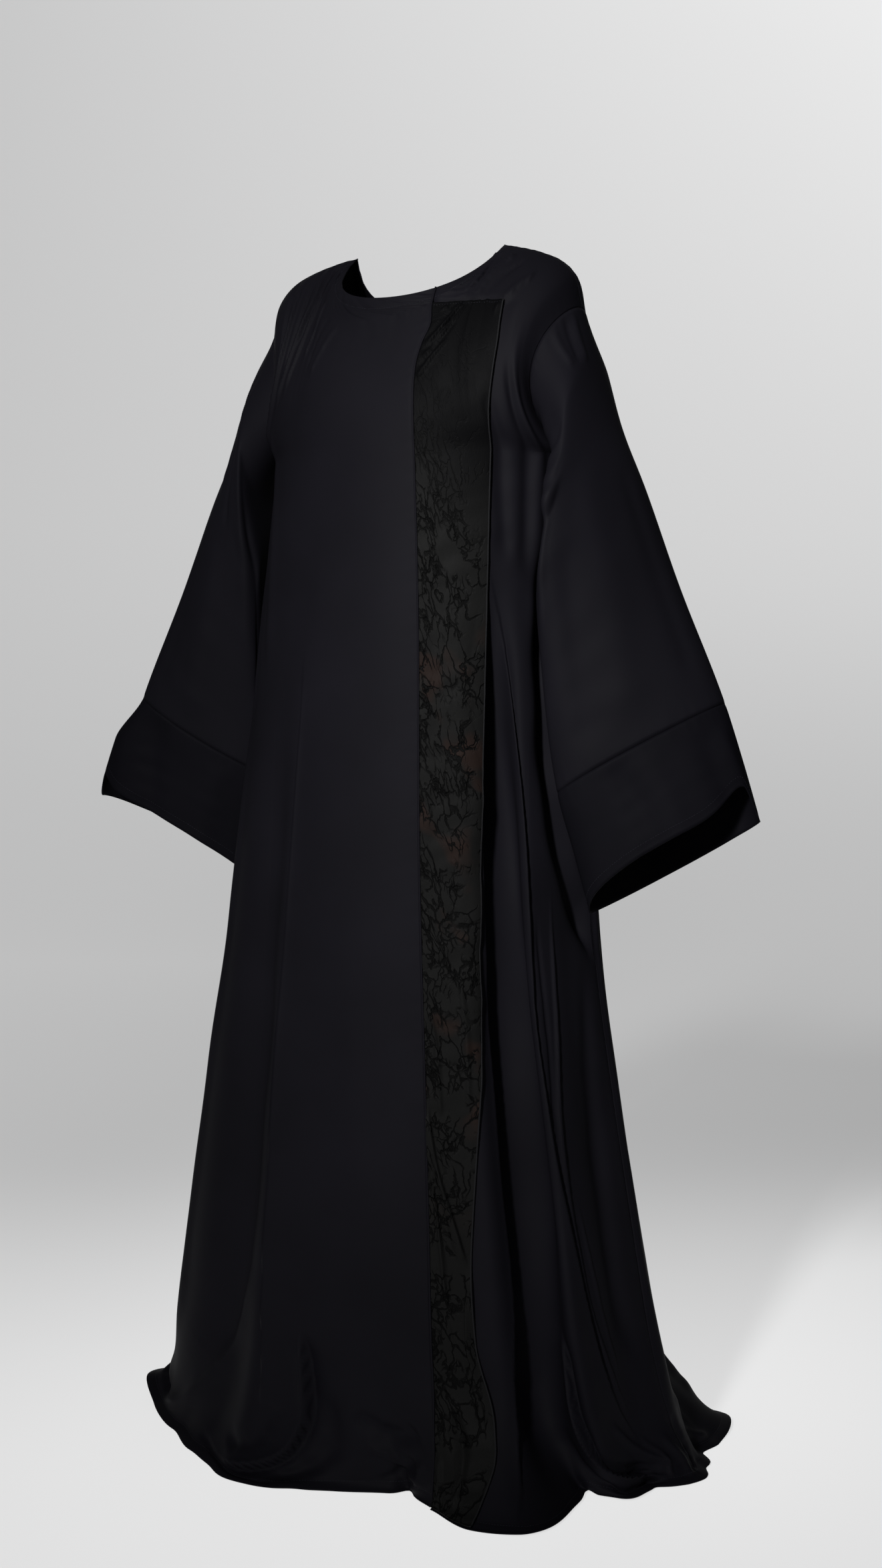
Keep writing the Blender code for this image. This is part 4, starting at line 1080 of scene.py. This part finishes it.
tube = {
    "columns": 168,
    "rows": {"Sleeve": 96, "Cuff": 34},
    "round": 0.52, "length": 0.52,       # metres to one turn and to one step along
    "drape": 0.0004,
    "hemDent": 0.0004, "hemStitch": 0.006,
}


def tubePoints(side, low, high, count, creases):
    turns = np.arange(tube["columns"]) / tube["columns"]
    turn, step = np.meshgrid(turns, np.linspace(0, 1, count))
    isCuff = high > cuff["seam"]
    end = np.full(turn.shape, high)
    if isCuff:
        at, wide = cuff["notchTurn"]
        end = high - cuff["notch"][side] * ease(turn / at) * bell((turn - at).clip(0), 0, wide)
    along = low + (end - low) * step
    base = sleevePoint(turn, along, side)
    normal = sleeveFacing(turn, along, side)
    metres = np.array([tube["round"], tube["length"]])
    places = np.stack([turn, along], -1) * metres
    fromTop, around = runLengths(base, 0), runLengths(base, 1)
    fromHem = fromTop[-1:] - fromTop
    detail = creaseHeight(places, creases, metres) * ease(fromTop / 0.015 + 0.2)
    detail += seamPucker(fromTop, around, panels["seamDip"], 0.020, 0.5)
    if isCuff:
        detail -= tube["hemDent"] * bell(fromHem, tube["hemStitch"], 0.003)
    else:
        detail = detail * ease(fromHem / 0.015 + 0.2)
        detail += seamPucker(fromHem, around, panels["seamDip"], 0.020, 1.5)
    drape = ripple(places[..., 0] + 0.2 * places[..., 1], 0.13, 0.8) * ripple(places[..., 1], 0.23, 0.2)
    clear = 1 if isCuff else ease((fromTop + 0.001) / 0.03)
    detail += tube["drape"] * drape * clear * np.sin(math.pi * turn) ** 2
    points = base + normal * detail[..., None]
    stepIn(points, np.s_[0], np.s_[1])
    if not isCuff:
        stepIn(points, np.s_[-1], np.s_[-2])
    return points


# The cuffs take the darker crepe, which paints shade on them.
tubes, tubePlaces = {}, {}
for side in ("left", "right"):
    for part, low, high, creases, material, thick in (
            ("Sleeve", 0.0, cuff["seam"], sleeveCreases, crepe, cloth["crepe"]),
            ("Cuff", cuff["seam"], cuff["hem"], cuffCreases, cuffShadeCrepe, cloth["cuff"])):
        name = side + part
        tubePlaces[name] = tubePoints(side, low, high, tube["rows"][part], creases[side])
        tubes[name] = makeShell(name, tubePlaces[name], material, thick, True, side == "left")
print("sleeves and cuffs made")


stitches = {
    "sizes": {"Spacing": 0.0034, "Length": 0.0025, "Width": 0.0005},
    "uneven": (0.42, 0.52),  # half of a stitch's length
    "seed": 7,
    "cuff": 0.012,           # distances from an edge
    "bandTop": 0.004,
    "probe": 0.004,
}
stitchRows = []  # places, the way out of the cloth at each, and whether the row closes on itself


def placeAt(points, run, distance):  # the place at one distance down each column of a grid
    return np.stack([[np.interp(distance, run[:, i], points[:, i, axis]) for i in range(points.shape[1])]
                     for axis in range(3)], -1)


def stitchLine(points, distance, fromHem=False, loop=False):
    run = runLengths(points, 0)
    if fromHem:
        points, run = points[::-1], (run[-1:] - run)[::-1]
    place = placeAt(points, run, distance)
    down = placeAt(points, run, distance + stitches["probe"]) - place
    across = np.roll(place, -1, 0) - np.roll(place, 1, 0) if loop else np.gradient(place, axis=0)
    stitchRows.append((place, unit(np.cross(across, down)), loop))


def stitchTree(material):  # a stretched bead at every step along each row
    tree = bpy.data.node_groups.new("stitchRow", "GeometryNodeTree")
    socket = tree.interface.new_socket
    socket("Geometry", in_out="INPUT", socket_type="NodeSocketGeometry")
    for name in stitches["sizes"]:
        socket(name, in_out="INPUT", socket_type="NodeSocketFloat")
    socket("Geometry", in_out="OUTPUT", socket_type="NodeSocketGeometry")
    nodes = Nodes(tree)
    lines, spacing, length, width = nodes.node("NodeGroupInput")[:4]
    path = nodes.node("GeometryNodeMeshToCurve", {}, {"Mesh": lines})[0]
    path = nodes.node("GeometryNodeResampleCurve", {"mode": "LENGTH"}, {"Curve": path, "Length": spacing})[0]
    way = nodes.node("GeometryNodeInputTangent")[0]
    out = nodes.node("GeometryNodeInputNamedAttribute", {"data_type": "FLOAT_VECTOR"}, {"Name": "out"})[0]
    turned = nodes.node("FunctionNodeAlignRotationToVector", {"axis": "Z"}, {"Vector": way})[0]
    turned = nodes.node("FunctionNodeAlignRotationToVector", {"axis": "X", "pivot_axis": "Z"},
                        {"Rotation": turned, "Vector": out})[0]
    short, tall = stitches["uneven"]
    uneven = nodes.node("FunctionNodeRandomValue", {}, {2: short, 3: tall, "Seed": stitches["seed"]})[1]
    thin = width * 0.5
    size = nodes.node("ShaderNodeCombineXYZ", {}, {0: thin, 1: thin, 2: length * uneven})[0]
    bead = nodes.node("GeometryNodeMeshIcoSphere", {}, {"Radius": 1.0, "Subdivisions": 1})[0]
    placed = nodes.node("GeometryNodeInstanceOnPoints", {}, {
        "Points": path, "Instance": bead, "Rotation": turned, "Scale": size})[0]
    real = nodes.node("GeometryNodeRealizeInstances", {}, {"Geometry": placed})[0]
    real = nodes.node("GeometryNodeSetMaterial", {}, {"Geometry": real, "Material": material})[0]
    nodes.node("NodeGroupOutput", {}, {0: real})
    return tree


def makeStitches(name):
    links, first = [], 0
    for place, _, loop in stitchRows:
        last = first + len(place) - 1
        links += [(i, i + 1) for i in range(first, last)] + ([(last, first)] if loop else [])
        first = last + 1
    places, outs = [np.concatenate([row[i] for row in stitchRows]) for i in range(2)]
    mesh = bpy.data.meshes.new(name)
    mesh.from_pydata(places.tolist(), links, [])
    mesh.attributes.new("out", "FLOAT_VECTOR", "POINT").data.foreach_set("vector", outs.reshape(-1))
    made = addObject(name, mesh)
    sewn = made.modifiers.new("stitches", "NODES")
    sewn.node_group = stitchTree(thread)
    for item in sewn.node_group.interface.items_tree:
        if item.in_out == "INPUT" and item.name in stitches["sizes"]:
            sewn[item.identifier] = stitches["sizes"][item.name]
    seen = made.evaluated_get(bpy.context.evaluated_depsgraph_get())
    made.data = bpy.data.meshes.new_from_object(seen)
    made.modifiers.clear()
    made.data.shade_smooth()
    return made


neckFrom, neckTo = panels["sideColumns"], panels["sideColumns"] + panels["neckColumns"] + 1
for points in (rightPoints[:, neckFrom:], leftPoints[:, :panels["leftNeckColumns"] + 1],
               backPoints[:, neckFrom:neckTo]):
    stitchLine(points, panels["neckStitch"])
stitchLine(strip, stitches["bandTop"])
for points in (rightPoints, leftPoints[:, panels["behindBand"]:], backPoints):
    stitchLine(points, panels["hemStitch"], True)
for name in ("leftCuff", "rightCuff"):
    stitchLine(tubePlaces[name], stitches["cuff"], True, True)
sewing = makeStitches("stitching")
print("stitches made", len(sewing.data.polygons))


studio = {
    "paper": (0.30, 0.30, 0.30),
    "lampWall": 5.68,  # distance from the camera, nearer than the paper's own wall
    "front": -9.0,
    "sweep": (4.0, 1.4, 7.0),  # where the floor starts to bend, the bend's radius and the wall's height
    "sweepSteps": 12,
    "halfWidth": 5.0,
    "world": (0.90, 0.94, 1.0),
    "worldStrength": 0.08,
    "lights": (  # name, place, target, width, height, power and spread in degrees
        ("key", (0.52, -3.98, 1.45), (0.09, 0.0, -0.48), 0.35, 1.4, 9.4, 22.0),
    ),
}
glow = {  # painted light: the paper's own glow, in place of lamps lighting the backdrop, with the stretches over which it changes
    "wall": 0.51, "zero": -0.87, "height": 0.075, "side": 0.016, "rise": 0.045,
    "floor": 0.23, "floorAway": (-0.2, 1.5),
    # corner: painted shadow, low down behind the garment and more to the right
    "corner": 0.09, "cornerAway": (0.6, 1.8), "cornerHeight": (-1.3, -0.3), "cornerSide": (-1.2, 1.4),
    "beyond": 0.10, "endAway": (-1.2, -0.6), "endSide": (1.9, 3.6), "endHeight": (1.3, 2.0),
}
shot = {
    "azimuth": 28.0, "distance": 2.78, "height": -0.499,
    "lens": 50.0, "shiftX": 0.0085, "shiftY": -0.0908,
}
viewTurn = math.radians(shot["azimuth"])


def makeStudio():
    makeSweep()
    world = bpy.data.worlds.new("studio")
    bpy.context.scene.world = world
    world.use_nodes = True
    background = world.node_tree.nodes["Background"]
    background.inputs["Color"].default_value = (*studio["world"], 1)
    background.inputs["Strength"].default_value = studio["worldStrength"]
    for name, place, target, width, height, power, spread in studio["lights"]:
        lamp = bpy.data.lights.new(name, "AREA")
        lamp.shape, lamp.size, lamp.size_y, lamp.energy = "RECTANGLE", width, height, power
        lamp.spread = math.radians(spread)
        light = addObject(name, lamp)
        light.location = place
        light.rotation_euler = (Vector(target) - Vector(place)).to_track_quat("-Z", "Y").to_euler()


def makePaper():  # painted light: the paper glows from within, unevenly, where lamps would light it, and a painted shadow darkens it low down behind the garment
    finish = Finish("glowingPaper")
    x, y, z = finish.node("ShaderNodeSeparateXYZ", {}, {"Vector": finish.node("ShaderNodeTexCoord")[3]})
    side = x * math.cos(viewTurn) + y * math.sin(viewTurn)
    away = y * math.cos(viewTurn) - x * math.sin(viewTurn)
    nearer = (away + shot["distance"]) * (1 / studio["lampWall"])
    shrink = finish.node("ShaderNodeMath", {"operation": "MAXIMUM"}, {0: nearer, 1: 1.0})[0] ** -1.0
    side = side * shrink
    z = (z - shot["height"]) * shrink + shot["height"]
    high = z - glow["zero"]
    level = glow["wall"] + high * glow["height"] + side * (glow["side"] + high * glow["rise"])
    level = level + (1 - finish.between(away, *glow["floorAway"])) * glow["floor"]
    # painted shadow: the glow is lowered low down behind the garment, more to the right, as the garment's
    # soft shadow
    corner = finish.between(away, *glow["cornerAway"]) * (1 - finish.between(z, *glow["cornerHeight"]))
    level = level - corner * glow["corner"] * (finish.between(side, *glow["cornerSide"]) * 0.7 + 0.3)
    shown = finish.between(away, *glow["endAway"]) * (1 - finish.between(side * side, *glow["endSide"]))
    shown = shown * (1 - finish.between(z, *glow["endHeight"]))
    level = glow["beyond"] + (level - glow["beyond"]) * shown
    grey = finish.node("ShaderNodeCombineColor", {}, {0: level, 1: level, 2: level})[0]
    finish.plug(finish.shader, {
        "Base Color": (*studio["paper"], 1), "Roughness": 0.9, "Specular IOR Level": 0.1,
        "Emission Color": grey, "Emission Strength": 1.0})
    return finish.material


def makeSweep():  # floor, curved corner and wall in one smooth sheet
    reach, bend, high = studio["sweep"]
    bends = [math.pi / 2 * i / studio["sweepSteps"] for i in range(1, studio["sweepSteps"] + 1)]
    profile = [(studio["front"], 0.0), (reach, 0.0)]
    profile += [(reach + bend * math.sin(a), bend * (1 - math.cos(a))) for a in bends]
    profile += [(reach + bend, high)]
    away = Vector((-math.sin(viewTurn), math.cos(viewTurn), 0))
    side = Vector((math.cos(viewTurn), math.sin(viewTurn), 0))
    verts = [away * p + side * across + Vector((0, 0, form["floor"] + q))
             for p, q in profile for across in (-studio["halfWidth"], studio["halfWidth"])]
    faces = [(2 * i, 2 * i + 1, 2 * i + 3, 2 * i + 2) for i in range(len(profile) - 1)]
    mesh = bpy.data.meshes.new("sweep")
    mesh.from_pydata(verts, [], faces)
    mesh.shade_smooth()
    mesh.materials.append(makePaper())
    addObject("sweep", mesh)


def makeCamera():
    lens = bpy.data.cameras.new("camera")
    lens.lens, lens.sensor_width, lens.sensor_fit = shot["lens"], 36.0, "AUTO"
    lens.shift_x, lens.shift_y = shot["shiftX"], shot["shiftY"]
    camera = addObject("camera", lens)
    away = shot["distance"]
    camera.location = (away * math.sin(viewTurn), -away * math.cos(viewTurn), shot["height"])
    camera.rotation_euler = (math.pi / 2, 0, viewTurn)
    bpy.context.scene.camera = camera


makeStudio()
makeCamera()
bpy.context.scene.view_settings.view_transform = "Standard"


cut = {  # each piece with its flat width and length, and the area of its cut
    "front_right": (frontRight, (0.78, 1.52), 0.68),
    "front_left": (frontLeft, (0.52, 1.53), 0.45),
    "back": (back, (1.25, 1.54), 1.01),
    "front_band": (frontBand, (0.10, 1.42), 0.110),
    "sleeve_left": (tubes["leftSleeve"], (0.55, 0.53), 0.195),
    "sleeve_right": (tubes["rightSleeve"], (0.55, 0.53), 0.180),
    "cuff_left": (tubes["leftCuff"], (0.55, 0.16), 0.066),
    "cuff_right": (tubes["rightCuff"], (0.55, 0.16), 0.071),
}

for node, (piece, flat, area) in cut.items():
    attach(piece, "root")
    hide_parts(node)
    "jacquard" if node == "front_band" else "crepe"

for piece in (seamPiping, bandCord, sewing):
    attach(piece, "root")
